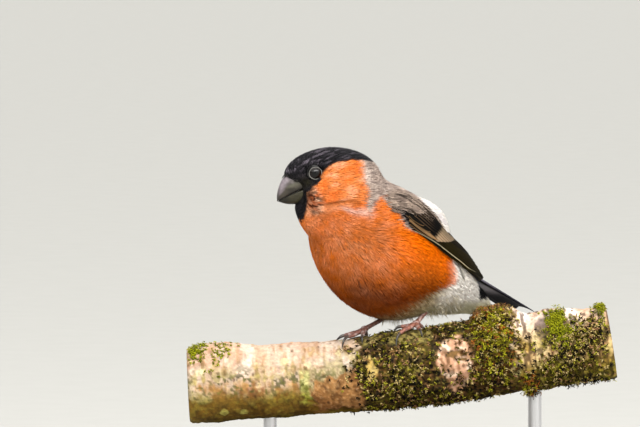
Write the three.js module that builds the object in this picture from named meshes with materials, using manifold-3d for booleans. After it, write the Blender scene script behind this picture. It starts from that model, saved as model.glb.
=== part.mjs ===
// A male Eurasian bullfinch (Pyrrhula pyrrhula) perched on a short cut length of mossy branch, which two rods hold over a flat base.
// Life size, in millimetres. The frame: +Z up, +X along the perch, origin at the middle of the base's underside.
//
// The bird is one smooth outline, out to the tips of its feathers. It is an implicit surface: a few named ellipsoids, joined smoothly.
// Rays from a line inside the body find that outline. It is then parted into head, neck and trunk by thin cuts, and the wings, tail,
// bill, eyes and legs are fitted into it with a small gap.
import * as THREE from "three";
import { mergeVertices } from "three/addons/utils/BufferGeometryUtils.js";
import Module from "manifold-3d";

const wasm = await Module();
wasm.setup();

// ---------------------------------------------------------------- driving dimensions
const GAP = 0.3; // clearance between neighbouring pieces
const DEG = Math.PI / 180;

// Pose of the bird on its perch
const TRUNK_CENTRE = [-6.55, 0.0, 92.4]; // middle of the trunk in the part's frame
const BODY_YAW = 42; // how far the body is turned from the perch's line, degrees
const HEAD_YAW = -34; // the head is turned back to the bird's right
const HEAD_PITCH = 18; // bill down
const HEAD_CENTRE = [24.69, -2.5, 25.2]; // in the bird's frame: x forward, y left, z up

// Trunk, in the bird's frame: centre x, z; half sizes along, across and deep; nose-up pitch in degrees
const TRUNK = { x: 0.1, z: -3.4, along: 30.8, across: 25.0, deep: 24.9, pitch: 35 };
const BREAST = { x: 8.4, z: 3.6, along: 20.3, across: 22.0, deep: 18.0, pitch: 50 };
const BELLY = { x: -20.8, z: -12.7, along: 23.5, across: 19.5, deep: 13.9, pitch: 28 };
const UNDERTAIL = { x: -40.0, z: -21.6, along: 15.5, across: 9.5, deep: 6.4, pitch: 23 };
const MANTLE = { x: 10.8, z: 12.1, along: 20.0, across: 18.0, deep: 9.7, pitch: 45 };
const RUMP = { x: -18.0, z: 5.4, along: 11.0, across: 13.5, deep: 10.5, pitch: 35 };
const NECK = { from: [-3, 0, -4], to: [12.8, -0.5, 5.7], rHead: 14.2, rBody: 14.4 };

// Head, in the head's frame: centre x, y, z and half sizes
const SKULL = { at: [1.0, 0, -3.6], r: [16.5, 12.4, 10.15] };
const FOREHEAD = { at: [5.5, 0, 5.2], r: [11.8, 7.6, 7.4] };
const CHEEK = { at: [-2.5, 5.8, -4], r: [10, 7, 8] };
const THROAT = { at: [10.4, 0, -9.8], r: [6.5, 6.2, 9.5] };

// Cuts that part the outline: below the cheek, in the head's frame, and above the shoulders, in the bird's frame
const HEAD_CUT = { at: [0, 0, -10.7], normal: [0.16, 0, 0.987] };
const NECK_CUT = { at: [11, 0, 12.2], normal: [0.45, -0.06, 0.89] };

// Eyes, in the head's frame
const EYE = { x: 5.35, z: 4.2, r: 3.4, proud: 0.7 };

// Bill, in the head's frame: profile curves as Bezier control points [x, z] from base to tip
const CULMEN = [[9, 8], [16, 10], [21.7, 3.0], [22.5, -1.8]];
const GAPE = [[9, 0.1], [13.5, 0], [18.5, -0.6], [22.3, -1.6]];
const GONYS = [[9, -5], [15, -6.1], [19.5, -4.2], [21.7, -2.1]];
const BILL_HALF_WIDTH = 4.7;

// Folded wing: a shell over the flank. It runs along an axis from WING_FROM towards the tail; "turn" is the angle about
// that axis, from the bird's side (0) up to its back (90).
const WING_FROM = [20, 0, 12];
const WING_PITCH = 28.5;
const WING_START = 1.5;
const WING_TIP = 70.5; // distance of the wing tip along that axis
const WING_LOW = [[0, 20], [0.06, 11], [0.12, 5.5], [0.2, 1], [0.45, 0], [0.7, 0], [0.84, 4.5], [0.93, 15], [1, 38]]; // share of length, turn of the lower edge
const WING_HIGH = [[0, 30], [0.12, 44], [0.26, 40], [0.37, 33], [0.44, 27], [0.55, 30], [0.75, 44], [0.92, 52], [1, 48]]; // turn of the upper edge
const WING_RISE = [[0, 0.2], [0.15, 0.9], [0.5, 1.6], [0.75, 2.2], [1, 2.6]]; // outer face above the body's outline
const WING_SINK = [[0, 0.8], [0.3, 1.4], [0.7, 0.6], [0.85, -0.5], [1, -1.3]]; // inner face below that outline

// Tail: twelve closed feathers, as one thin arched blade with a shallow fork
const TAIL = { root: [-33, 0, -8.6], pitch: 25.8, length: 47.5, halfBase: 5.4, halfEnd: 8.6, thick: 2.6, thickEnd: 1.2, arch: 1.6, fork: 2.4 };

// Legs, in the part's frame
const LEFT_FOOT = [6.2, -1.5, 61.2];
const RIGHT_FOOT = [-13.6, -0.5, 59.0];
const LEFT_HEEL = [15.6, 8.3, 71.6];
const RIGHT_HEEL = [-2.0, 9.6, 64.6];
const SHANK_R = 0.95;
const TOE_R = 0.85;
// Headings, seen from above, from the part's +X: of the toe, and of its claw's tip; lengths of the toe along the bark and of its claw
const LEFT_TOES = {
  hind: { heading: 72, tip: 85, length: 7.5, claw: 6.0 },
  inner: { heading: 194, tip: 250, length: 5.6, claw: 3.8 },
  middle: { heading: 232, tip: 272, length: 8.6, claw: 6.4 },
  outer: { heading: 282, tip: 280, length: 5.8, claw: 3.8 },
};
const RIGHT_TOES = {
  hind: { heading: 84, tip: 92, length: 7.5, claw: 6.0 },
  inner: { heading: 262, tip: 268, length: 5.8, claw: 3.8 },
  middle: { heading: 218, tip: 272, length: 7.8, claw: 6.6 },
  outer: { heading: 191, tip: 252, length: 6.8, claw: 4.4 },
};

// Perch: a cut branch, with cushions of moss
const PERCH_HALF = 81.5;
const PERCH_R = 14.6;
const PERCH_MIDDLE_Z = 43.1;
const PERCH_SLOPE = 0.103;
const PERCH_BEND = 0.000338;
const MOSS = [
  // place along the perch, angle up from the viewer's side (90 is the top), height, half length, half angle
  { x: 38.5, turn: 88, high: 5.6, half: 8.5, wide: 34 },
  { x: 62, turn: 62, high: 2.0, half: 9, wide: 40 },
  { x: 10, turn: 40, high: 1.0, half: 26, wide: 60 },
  { x: -68, turn: 60, high: 1.6, half: 10, wide: 50 },
];

// Stand
const BASE = { length: 150, width: 84, high: 8, corner: 12, chamfer: 1.2 };
const ROD_R = 2.6;
const ROD_X = [-50, 52];
const ROD_IN_BASE = 5;
const ROD_IN_PERCH = 5;

// ---------------------------------------------------------------- frames
const v3 = (a) => new THREE.Vector3(...a);
const rotation = (yaw, pitchDown) =>
  new THREE.Matrix4()
    .makeRotationZ(yaw * DEG)
    .multiply(new THREE.Matrix4().makeRotationY(pitchDown * DEG));
const birdToPart = rotation(180 + BODY_YAW, 0).setPosition(v3(TRUNK_CENTRE));
const headToBird = rotation(HEAD_YAW, HEAD_PITCH).setPosition(v3(HEAD_CENTRE));
const birdToHead = headToBird.clone().invert();
const partToBird = birdToPart.clone().invert();
const headToPart = birdToPart.clone().multiply(headToBird);

// ---------------------------------------------------------------- the bird's outline
const smoothMin = (a, b, k) => {
  const h = Math.min(1, Math.max(0, 0.5 + (0.5 * (b - a)) / k));
  return b + (a - b) * h - k * h * (1 - h);
};
function ellipsoid(x, y, z, rx, ry, rz) {
  const k0 = Math.hypot(x / rx, y / ry, z / rz);
  const k1 = Math.hypot(x / (rx * rx), y / (ry * ry), z / (rz * rz));
  return (k0 * (k0 - 1)) / Math.max(k1, 1e-9);
}
function lobe(p, s, y0 = 0) {
  const c = Math.cos(s.pitch * DEG),
    n = Math.sin(s.pitch * DEG);
  const dx = p.x - s.x,
    dz = p.z - s.z;
  return ellipsoid(dx * c + dz * n, p.y - y0, -dx * n + dz * c, s.along, s.across, s.deep);
}
const neckFrom = v3(NECK.from).applyMatrix4(headToBird),
  neckTo = v3(NECK.to),
  neckLine = neckTo.clone().sub(neckFrom);
function neckTube(p) {
  const q = p.clone().sub(neckFrom);
  const t = Math.min(1, Math.max(0, q.dot(neckLine) / neckLine.lengthSq()));
  return q.addScaledVector(neckLine, -t).length() - (NECK.rHead + (NECK.rBody - NECK.rHead) * t);
}
function outline(p) {
  // distance to the feathered outline, in the bird's frame: below 0 inside
  let d = lobe(p, TRUNK);
  d = smoothMin(d, lobe(p, BREAST, -1), 6);
  d = smoothMin(d, lobe(p, BELLY), 8);
  d = smoothMin(d, lobe(p, UNDERTAIL), 7);
  d = smoothMin(d, lobe(p, MANTLE, -0.5), 6);
  d = smoothMin(d, lobe(p, RUMP), 4);
  const h = p.clone().applyMatrix4(birdToHead);
  const at = (s, side = 1) =>
    ellipsoid(h.x - s.at[0], h.y - side * s.at[1], h.z - s.at[2], ...s.r);
  let head = smoothMin(at(SKULL), at(FOREHEAD), 4);
  head = smoothMin(head, at(CHEEK, 1), 3);
  head = smoothMin(head, at(CHEEK, -1), 3);
  head = smoothMin(head, at(THROAT), 3);
  d = smoothMin(d, neckTube(p), 7);
  return smoothMin(d, head, 6);
}

// How far from `from` along `way` the outline lies
function reach(from, way, start = 1) {
  let s = start;
  const at = new THREE.Vector3();
  for (let i = 0; i < 60; i++) {
    const d = outline(at.copy(from).addScaledVector(way, s));
    if (d >= 0) break;
    s += Math.max(-d * 0.8, 0.02);
  }
  for (let i = 0; i < 6; i++) s -= outline(at.copy(from).addScaledVector(way, s)) * 0.8;
  return s;
}

// ---------------------------------------------------------------- solids
// Values from a short table of [place, value], smoothly joined
function along(table, t) {
  const n = table.length;
  if (t <= table[0][0]) return table[0][1];
  if (t >= table[n - 1][0]) return table[n - 1][1];
  let i = 0;
  while (table[i + 1][0] < t) i++;
  const [x0, y0] = table[i],
    [x1, y1] = table[i + 1];
  const slope = (j) =>
    j <= 0 || j >= n - 1
      ? (table[Math.min(j + 1, n - 1)][1] - table[Math.max(j - 1, 0)][1]) /
        (table[Math.min(j + 1, n - 1)][0] - table[Math.max(j - 1, 0)][0])
      : (table[j + 1][1] - table[j - 1][1]) / (table[j + 1][0] - table[j - 1][0]);
  const w = x1 - x0,
    u = (t - x0) / w,
    m0 = slope(i) * w,
    m1 = slope(i + 1) * w;
  return (
    (2 * u ** 3 - 3 * u ** 2 + 1) * y0 +
    (u ** 3 - 2 * u ** 2 + u) * m0 +
    (-2 * u ** 3 + 3 * u ** 2) * y1 +
    (u ** 3 - u ** 2) * m1
  );
}
const bezier = (P, t) =>
  [0, 1].map(
    (k) =>
      (1 - t) ** 3 * P[0][k] +
      3 * (1 - t) ** 2 * t * P[1][k] +
      3 * (1 - t) * t * t * P[2][k] +
      t ** 3 * P[3][k],
  );

// A closed skin over rings of points, each ring the same length, with a point at each end
function loft(rings, first, last) {
  const n = rings[0].length,
    pos = [],
    idx = [];
  for (const r of rings) for (const p of r) pos.push(p.x, p.y, p.z);
  for (let i = 0; i < rings.length - 1; i++)
    for (let j = 0; j < n; j++) {
      const a = i * n + j,
        b = i * n + ((j + 1) % n),
        c = a + n,
        d = b + n;
      if ((i + j) % 2) idx.push(a, b, d, a, d, c);
      else idx.push(a, b, c, b, d, c);
    }
  const m = rings.length * n,
    o = (rings.length - 1) * n;
  pos.push(first.x, first.y, first.z, last.x, last.y, last.z);
  for (let j = 0; j < n; j++) {
    idx.push(m, (j + 1) % n, j);
    idx.push(m + 1, o + j, o + ((j + 1) % n));
  }
  return new THREE.BufferGeometry()
    .setAttribute("position", new THREE.Float32BufferAttribute(pos, 3))
    .setIndex(idx);
}
function toSolid(geometry) {
  let g = geometry.clone();
  g.deleteAttribute("normal");
  g.deleteAttribute("uv");
  g = mergeVertices(g, 1e-4);
  const make = (tri) =>
    new wasm.Manifold(
      new wasm.Mesh({
        numProp: 3,
        vertProperties: new Float32Array(g.attributes.position.array),
        triVerts: tri,
      }),
    );
  const tri = new Uint32Array(g.index.array);
  let s = make(tri);
  if (s.volume() < 0) {
    for (let i = 0; i < tri.length; i += 3) [tri[i + 1], tri[i + 2]] = [tri[i + 2], tri[i + 1]];
    s = make(tri);
  }
  return s;
}
function toGeometry(solid) {
  const m = solid.getMesh(),
    n = m.numProp,
    pos = new Float32Array(m.numVert * 3);
  for (let i = 0; i < m.numVert; i++)
    pos.set(m.vertProperties.subarray(i * n, i * n + 3), i * 3);
  const g = new THREE.BufferGeometry()
    .setAttribute("position", new THREE.BufferAttribute(pos, 3))
    .setIndex(new THREE.BufferAttribute(new Uint32Array(m.triVerts), 1));
  g.computeVertexNormals();
  return g;
}
const biggest = (solid) =>
  solid.decompose().reduce((a, b) => (b.volume() > a.volume() ? b : a));

// The body's outline as one closed surface, from the tail coverts to the crown
const BODY_RINGS = 30,
  BODY_SIDES = 30,
  END_SHARE = 0.16;
const spineEnds = [
  v3([-46, 0, -24]),
  v3([-18, 0, -8]),
  v3([0.5, 0, 0.5]).applyMatrix4(headToBird).add(v3([-24, 1.5, -15])),
  v3([0.5, 0, 0.5]).applyMatrix4(headToBird),
];
const spine = new THREE.CubicBezierCurve3(...spineEnds);
function bodyOutline() {
  const rings = [],
    up0 = new THREE.Vector3(0, 0, 1);
  const ray = (u, turn) => {
    const t = Math.min(1, Math.max(0, (u - END_SHARE) / (1 - 2 * END_SHARE)));
    const from = spine.getPoint(t),
      ahead = spine.getTangent(t);
    const left = up0.clone().cross(ahead).normalize(),
      up = ahead.clone().cross(left);
    const lean =
      u < END_SHARE
        ? (u / END_SHARE) * (Math.PI / 2)
        : u > 1 - END_SHARE
          ? Math.PI / 2 + ((u - 1 + END_SHARE) / END_SHARE) * (Math.PI / 2)
          : Math.PI / 2;
    const way = ahead
      .multiplyScalar(-Math.cos(lean))
      .addScaledVector(left, Math.sin(lean) * Math.cos(turn))
      .addScaledVector(up, Math.sin(lean) * Math.sin(turn));
    return from.clone().addScaledVector(way, reach(from, way));
  };
  for (let i = 1; i < BODY_RINGS; i++)
    rings.push(
      Array.from({ length: BODY_SIDES }, (_, j) =>
        ray(i / BODY_RINGS, ((j + 0.5) / BODY_SIDES) * 2 * Math.PI),
      ),
    );
  return loft(rings, ray(0, 0), ray(1, 0));
}

// ---- wings
const wingBack = v3([-Math.cos(WING_PITCH * DEG), 0, -Math.sin(WING_PITCH * DEG)]),
  wingUp = v3([-Math.sin(WING_PITCH * DEG), 0, Math.cos(WING_PITCH * DEG)]);
function wing(side, grow) {
  const STEPS = 16,
    ACROSS = 5,
    rings = [];
  const at = (s, w, rise) => {
    const low = along(WING_LOW, s),
      high = along(WING_HIGH, s),
      // only the edges grow sideways; the flank's radius is about 20, so 3 degrees make 1 mm
      edge = (w > 0.999 ? 1 : w < 0.001 ? -1 : 0) * grow * (3 + 4 * s ** 4);
    const turn = (low + (high - low) * w + edge) * DEG;
    const from = v3(WING_FROM).addScaledVector(
      wingBack,
      WING_START + (WING_TIP - WING_START) * s + (s > 0.5 ? grow : -grow),
    );
    const way = v3([0, side * Math.cos(turn), 0]).addScaledVector(wingUp, Math.sin(turn));
    return from.addScaledVector(way, reach(from, way) + rise);
  };
  for (let i = 0; i <= STEPS; i++) {
    const s = i / STEPS,
      out = along(WING_RISE, s),
      sink = along(WING_SINK, s),
      ring = [];
    for (let j = 0; j <= ACROSS; j++) {
      const w = j / ACROSS,
        round = 1 - 0.75 * Math.pow(Math.abs(2 * w - 1), 3.5);
      ring.push(at(s, w, out * round - (1 - round) * sink * 0.3 + grow));
    }
    for (let j = ACROSS; j >= 0; j--) {
      const w = j / ACROSS,
        round = 1 - 0.75 * Math.pow(Math.abs(2 * w - 1), 3.5);
      ring.push(at(s, w, -sink * round - 0.6 * (1 - round) * (1 - s ** 4) - grow));
    }
    rings.push(ring);
  }
  const middle = (r) => r.reduce((a, p) => a.add(p), new THREE.Vector3()).divideScalar(r.length);
  return loft(rings, middle(rings[0]), middle(rings[rings.length - 1]));
}

// ---- tail
const tailBack = v3([-Math.cos(TAIL.pitch * DEG), 0, -Math.sin(TAIL.pitch * DEG)]),
  tailUp = v3([-Math.sin(TAIL.pitch * DEG), 0, Math.cos(TAIL.pitch * DEG)]);
function tail(grow) {
  const STEPS = 8,
    ACROSS = 6,
    rings = [];
  const place = (s, w, face) => {
    // s from root to end, w from -1 to 1 across, face 1 on top
    const half = TAIL.halfBase + (TAIL.halfEnd - TAIL.halfBase) * Math.pow(s, 0.8) + grow;
    const corner = 1.1 * Math.pow(Math.abs(w), 6);
    const long = (TAIL.length - TAIL.fork * (1 - Math.abs(w)) * s - corner * s) * s + (s > 0.5 ? grow : -grow);
    const thick = (TAIL.thick + (TAIL.thickEnd - TAIL.thick) * s) * (1 - 0.7 * Math.pow(Math.abs(w), 4)) + 2 * grow;
    const arch = -TAIL.arch * w * w;
    return v3(TAIL.root)
      .addScaledVector(tailBack, long)
      .addScaledVector(tailUp, arch + (face * thick) / 2)
      .add(v3([0, half * w, 0]));
  };
  for (let i = 0; i <= STEPS; i++) {
    const s = i / STEPS,
      ring = [];
    for (let j = 0; j <= ACROSS; j++) ring.push(place(s, (2 * j) / ACROSS - 1, 1));
    for (let j = ACROSS; j >= 0; j--) ring.push(place(s, (2 * j) / ACROSS - 1, -1));
    rings.push(ring);
  }
  const middle = (r) => r.reduce((a, p) => a.add(p), new THREE.Vector3()).divideScalar(r.length);
  return loft(rings, middle(rings[0]), middle(rings[rings.length - 1]));
}

// ---- bill, in the head's frame
function mandible(edge, ridge, halfWidth, power, grow, gap) {
  const STEPS = 8,
    ROUND = 8,
    rings = [];
  for (let i = 0; i < STEPS; i++) {
    const t = (i / STEPS) * 0.992,
      [ex, ez] = bezier(edge, t),
      [rx, rz] = bezier(ridge, t);
    let dx = rx - ex,
      dz = rz - ez;
    const len = Math.hypot(dx, dz);
    dx /= len;
    dz /= len;
    const half = halfWidth * Math.pow(1 - Math.pow(t, 1.9), 0.75) + 0.25 + grow,
      ring = [];
    for (let j = 0; j <= ROUND; j++) {
      const a = (j / ROUND) * Math.PI,
        y = half * Math.cos(a),
        h = gap - grow + (len + 2 * grow - gap) * Math.pow(Math.sin(a), power);
      ring.push(v3([ex + dx * h, y, ez + dz * h]));
    }
    // the cutting edge's plane is slightly hollow, so its middle has one more point
    ring.push(v3([ex + dx * (gap - grow + 0.05), 0, ez + dz * (gap - grow + 0.05)]));
    rings.push(ring);
  }
  const end = bezier(ridge, 1),
    back = rings[0].reduce((a, p) => a.add(p), new THREE.Vector3()).divideScalar(rings[0].length);
  back.x -= grow;
  return loft(rings, back, v3([end[0] + grow * 0.7, 0, end[1] + (ridge === CULMEN ? -grow : grow * -0.2)]));
}

// ---- tubes: toes, shanks and claws
function tube(points, radii, sides = 8, flat = 1) {
  const rings = [];
  let side = null;
  for (let i = 0; i < points.length; i++) {
    const a = points[Math.max(0, i - 1)],
      b = points[Math.min(points.length - 1, i + 1)];
    const t = b.clone().sub(a).normalize();
    if (!side) side = Math.abs(t.z) > 0.9 ? v3([1, 0, 0]) : v3([0, 0, 1]);
    const n = side.clone().addScaledVector(t, -side.dot(t)).normalize(),
      m = t.clone().cross(n);
    side = n;
    rings.push(
      Array.from({ length: sides }, (_, j) => {
        const q = (j / sides) * 2 * Math.PI;
        return points[i]
          .clone()
          .addScaledVector(n, Math.cos(q) * radii[i])
          .addScaledVector(m, Math.sin(q) * radii[i] * flat);
      }),
    );
  }
  const n = points.length;
  const cap = (i, j, r) =>
    points[i].clone().add(points[i].clone().sub(points[j]).normalize().multiplyScalar(r * 0.6));
  return loft(rings, cap(0, 1, radii[0]), cap(n - 1, n - 2, radii[n - 1]));
}

// ---- perch
const perchZ = (x) => PERCH_MIDDLE_Z + PERCH_SLOPE * x + PERCH_BEND * x * x;
const perchY = (x) => 0.5 * Math.sin(x * 0.035 + 0.6);
function perchRadius(x, turn) {
  // turn in degrees: 0 faces the viewer, 90 is the top
  let r = PERCH_R + 0.35 * Math.sin(x * 0.071 + 1) + 0.25 * Math.sin(x * 0.19 + turn * 0.035);
  r += 0.25 * Math.sin(3 * turn * DEG + x * 0.05);
  let near = 0;
  for (const m of MOSS) {
    const a = ((((turn - m.turn + 180) % 360) + 360) % 360) - 180;
    const q = ((x - m.x) / m.half) ** 2 + (a / m.wide) ** 2;
    near = Math.max(near, m.high * Math.exp(-q * q * 0.7));
  }
  return r + near;
}
// the bare top of the perch under the feet, where the toes lie
function perchTop(x, y) {
  const slope = PERCH_SLOPE + 2 * PERCH_BEND * x;
  const dy = y - perchY(x);
  const turn = Math.atan2(Math.sqrt(Math.max(0.01, PERCH_R ** 2 - dy * dy)), -dy) / DEG;
  const r = perchRadius(x, turn);
  const up = Math.sqrt(Math.max(0.5, r * r - dy * dy));
  const normal = v3([-slope, dy / r, up / r]).normalize();
  return { at: v3([x, y, perchZ(x) + up * Math.sqrt(1 + slope * slope)]), normal };
}
function perch() {
  const RINGS = 27,
    SIDES = 18,
    rings = [];
  for (let i = 0; i <= RINGS; i++) {
    const x = -PERCH_HALF + (2 * PERCH_HALF * i) / RINGS;
    const slope = PERCH_SLOPE + 2 * PERCH_BEND * x;
    const n = v3([-slope, 0, 1]).normalize();
    rings.push(
      Array.from({ length: SIDES }, (_, j) => {
        const turn = (j / SIDES) * 360,
          r = perchRadius(x, turn);
        return v3([x, perchY(x), perchZ(x)])
          .addScaledVector(n, r * Math.sin(turn * DEG))
          .add(v3([0, -r * Math.cos(turn * DEG), 0]));
      }),
    );
  }
  const mid = (x) => v3([x, perchY(x), perchZ(x)]);
  return loft(rings, mid(-PERCH_HALF), mid(PERCH_HALF));
}

// A toe lies on the perch: its middle line runs over the bark at the toe's own height, from the foot's joint to the claw
function toeLine(foot, toe, lift) {
  const way = toe.heading * DEG;
  const pts = [v3(foot)],
    stepMm = 2;
  let at = v3([foot[0], foot[1], 0]),
    done = 0,
    drop = 1;
  const first = perchTop(foot[0], foot[1]);
  const high = foot[2] - first.at.z;
  while (done < toe.length) {
    const top = perchTop(at.x, at.y);
    const dir = v3([Math.cos(way), Math.sin(way), 0]);
    dir.addScaledVector(top.normal, -dir.dot(top.normal)).normalize();
    at.x += dir.x * stepMm;
    at.y += dir.y * stepMm;
    done += stepMm;
    const next = perchTop(at.x, at.y);
    const share = Math.min(1, done / 4.5);
    const rise = high * (1 - share) ** 2 + lift * (1 - (1 - share) ** 2);
    // the toe's knuckles arch a little off the bark
    const knuckle = 0.35 * Math.abs(Math.sin((done / toe.length) * Math.PI * 2.5)) * share;
    pts.push(next.at.clone().addScaledVector(next.normal, rise + knuckle));
  }
  return pts;
}
function footParts(foot, heel, toeTable) {
  const toes = [],
    claws = {},
    roots = [];
  for (const [name, toe] of Object.entries(toeTable)) {
    const pts = toeLine(foot, toe, TOE_R + 0.45);
    const r = pts.map((_, i) => {
      const s = i / (pts.length - 1);
      return TOE_R * (1.12 - 0.34 * s + 0.1 * Math.abs(Math.sin(s * Math.PI * 2.5)));
    });
    toes.push(toSolid(tube(pts, r, 6)));
    roots.push(toSolid(tube(pts.slice(0, 4), r.slice(0, 4).map((q) => q + GAP + 0.1), 8)));
    // claw: leaves the toe's end ahead and bends down round the perch
    const n = pts.length,
      end = pts[n - 1],
      ahead = end.clone().sub(pts[n - 2]).normalize();
    const top = perchTop(end.x, end.y);
    const cp = [],
      cr = [];
    let dir = ahead.clone().addScaledVector(top.normal, 0.35).normalize();
    let q = end.clone().addScaledVector(ahead, TOE_R * 0.5 + GAP);
    const K = 4;
    for (let k = 0; k <= K; k++) {
      cp.push(q.clone());
      cr.push(0.62 * Math.pow(1 - k / (K + 0.6), 0.8) + 0.05);
      const bend = -0.62 + 0.06 * k;
      const down = perchTop(q.x, q.y).normal;
      const tip = v3([Math.cos(toe.tip * DEG), Math.sin(toe.tip * DEG), 0]);
      tip.addScaledVector(down, -tip.dot(down)).normalize();
      dir.addScaledVector(tip, 0.45).addScaledVector(down, bend).normalize();
      q.addScaledVector(dir, toe.claw / K);
      // a claw's tip stops on the bark
      const under = perchTop(q.x, q.y);
      const clear = q.clone().sub(under.at).dot(under.normal) - (cr[k] + 0.12);
      if (clear < 0) q.addScaledVector(under.normal, -clear);
    }
    claws[name] = toSolid(tube(cp, cr, 6, 0.8));
  }
  const ball = toSolid(new THREE.SphereGeometry(1.45, 8, 6).translate(...foot));
  let all = ball;
  for (const t of toes) all = all.add(t);
  const line = v3(heel).sub(v3(foot)),
    long = line.length();
  line.normalize();
  const shank = [0, 0.12, 0.3, 0.6, 0.85, 1].map((s) => v3(foot).addScaledVector(line, s * long));
  const leg = toSolid(tube(shank, [1.1, 0.98, SHANK_R, SHANK_R, 1.15, 1.5], 8));
  return { toes: all, claws, leg, roots };
}

// ---------------------------------------------------------------- assembly
const paint = (hex, roughness, metalness = 0) =>
  new THREE.MeshStandardMaterial({ color: hex, roughness, metalness });
const BLACK = paint(0x17171c, 0.45),
  ORANGE = paint(0xd9642a, 0.85),
  GREY = paint(0x8b8489, 0.85),
  HORN = paint(0x3b3a3e, 0.4),
  EYE_DARK = paint(0x120c0a, 0.05),
  LEG = paint(0x8a5a50, 0.6),
  CLAW = paint(0x3a3434, 0.4),
  BARK = paint(0xb7a58c, 0.95),
  WOOD = paint(0x4a3222, 0.5),
  STEEL = paint(0xb9babd, 0.3, 1);

const object = new THREE.Group();
const put = (name, solid, material) => {
  const mesh = new THREE.Mesh(toGeometry(solid), material);
  mesh.name = name;
  object.add(mesh);
};
const into = (geometry, matrix) => geometry.applyMatrix4(matrix);

// the whole outline, in the part's frame
let body = toSolid(into(bodyOutline(), birdToPart));

// wings and tail
const sides = { left: 1, right: -1 };
const wingSolids = {};
for (const [name, side] of Object.entries(sides)) {
  wingSolids[name] = toSolid(into(wing(side, 0), birdToPart));
  body = body.subtract(toSolid(into(wing(side, GAP), birdToPart)));
}
const tailCut = toSolid(into(tail(GAP), birdToPart));
body = body.subtract(tailCut);
let tailSolid = toSolid(into(tail(0), birdToPart));
for (const side of Object.values(sides))
  tailSolid = biggest(tailSolid.subtract(toSolid(into(wing(side, 1.7 * GAP), birdToPart))));

// bill
const upper = toSolid(into(mandible(GAPE, CULMEN, BILL_HALF_WIDTH, 0.85, 0, 0.16), headToPart)),
  lower = toSolid(into(mandible(GAPE, GONYS, BILL_HALF_WIDTH - 0.45, 0.9, 0, 0.16), headToPart));
body = body
  .subtract(toSolid(into(mandible(GAPE, CULMEN, BILL_HALF_WIDTH, 0.85, GAP, 0.16), headToPart)))
  .subtract(toSolid(into(mandible(GAPE, GONYS, BILL_HALF_WIDTH - 0.45, 0.9, GAP, 0.16), headToPart)));

// eyes: each centre is set back from the outline at the eye's place
const eyeSolids = {};
for (const [name, side] of Object.entries(sides)) {
  const from = v3([EYE.x, 0, EYE.z]).applyMatrix4(headToBird);
  const way = v3([0, side, 0]).transformDirection(headToBird);
  const r = reach(from, way) - EYE.r + EYE.proud;
  const centre = from.addScaledVector(way, r).applyMatrix4(birdToPart);
  eyeSolids[name] = toSolid(new THREE.SphereGeometry(EYE.r, 14, 9).translate(centre.x, centre.y, centre.z));
  body = body.subtract(
    toSolid(new THREE.SphereGeometry(EYE.r + GAP, 14, 9).translate(centre.x, centre.y, centre.z)),
  );
}

// legs and feet
const legs = {
  left: footParts(LEFT_FOOT, LEFT_HEEL, LEFT_TOES),
  right: footParts(RIGHT_FOOT, RIGHT_HEEL, RIGHT_TOES),
};
for (const [name, foot, heel] of [
  ["left", LEFT_FOOT, LEFT_HEEL],
  ["right", RIGHT_FOOT, RIGHT_HEEL],
]) {
  // the belly keeps clear of the leg, and the leg of the foot
  const line = v3(heel).sub(v3(foot)).normalize();
  const socket = [-1.5, 4, 10, 14, 18.5].map((s) => v3(foot).addScaledVector(line, s));
  body = body.subtract(toSolid(tube(socket, [1.6, 1.45, 1.5, 1.75, 2.0], 10)));
  const part = legs[name];
  const clearance = toSolid(new THREE.SphereGeometry(1.9, 8, 6).translate(...foot));
  part.leg = part.leg.subtract(clearance);
  for (const root of part.roots) part.leg = part.leg.subtract(root);
  part.leg = biggest(part.leg);
}

// perch, with a hole for each rod
let perchSolid = toSolid(perch());
const rods = ROD_X.map((x) => {
  const top = perchZ(x) - PERCH_R + ROD_IN_PERCH,
    bottom = BASE.high - ROD_IN_BASE;
  const rod = (r, extra) =>
    toSolid(
      new THREE.CylinderGeometry(r, r, top - bottom + 2 * extra, 16)
        .rotateX(Math.PI / 2)
        .translate(x, perchY(x), (top + bottom) / 2),
    );
  return { solid: rod(ROD_R, 0), hole: rod(ROD_R + GAP, GAP) };
});
for (const r of rods) perchSolid = perchSolid.subtract(r.hole);

// base: a flat plate with round corners and a small chamfer
function basePlate() {
  const { length: L, width: W, high, corner: c, chamfer: k } = BASE;
  const shape = new THREE.Shape();
  const x = L / 2 - k,
    y = W / 2 - k,
    q = c - k;
  shape.moveTo(-x + q, -y);
  shape.lineTo(x - q, -y);
  shape.absarc(x - q, -y + q, q, -Math.PI / 2, 0);
  shape.lineTo(x, y - q);
  shape.absarc(x - q, y - q, q, 0, Math.PI / 2);
  shape.lineTo(-x + q, y);
  shape.absarc(-x + q, y - q, q, Math.PI / 2, Math.PI);
  shape.lineTo(-x, -y + q);
  shape.absarc(-x + q, -y + q, q, Math.PI, 1.5 * Math.PI);
  return new THREE.ExtrudeGeometry(shape, {
    depth: high - 2 * k,
    bevelEnabled: true,
    bevelThickness: k,
    bevelSize: k,
    bevelSegments: 1,
    curveSegments: 3,
  }).translate(0, 0, k);
}
let base = toSolid(basePlate());
for (const r of rods) base = base.subtract(r.hole);

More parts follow.
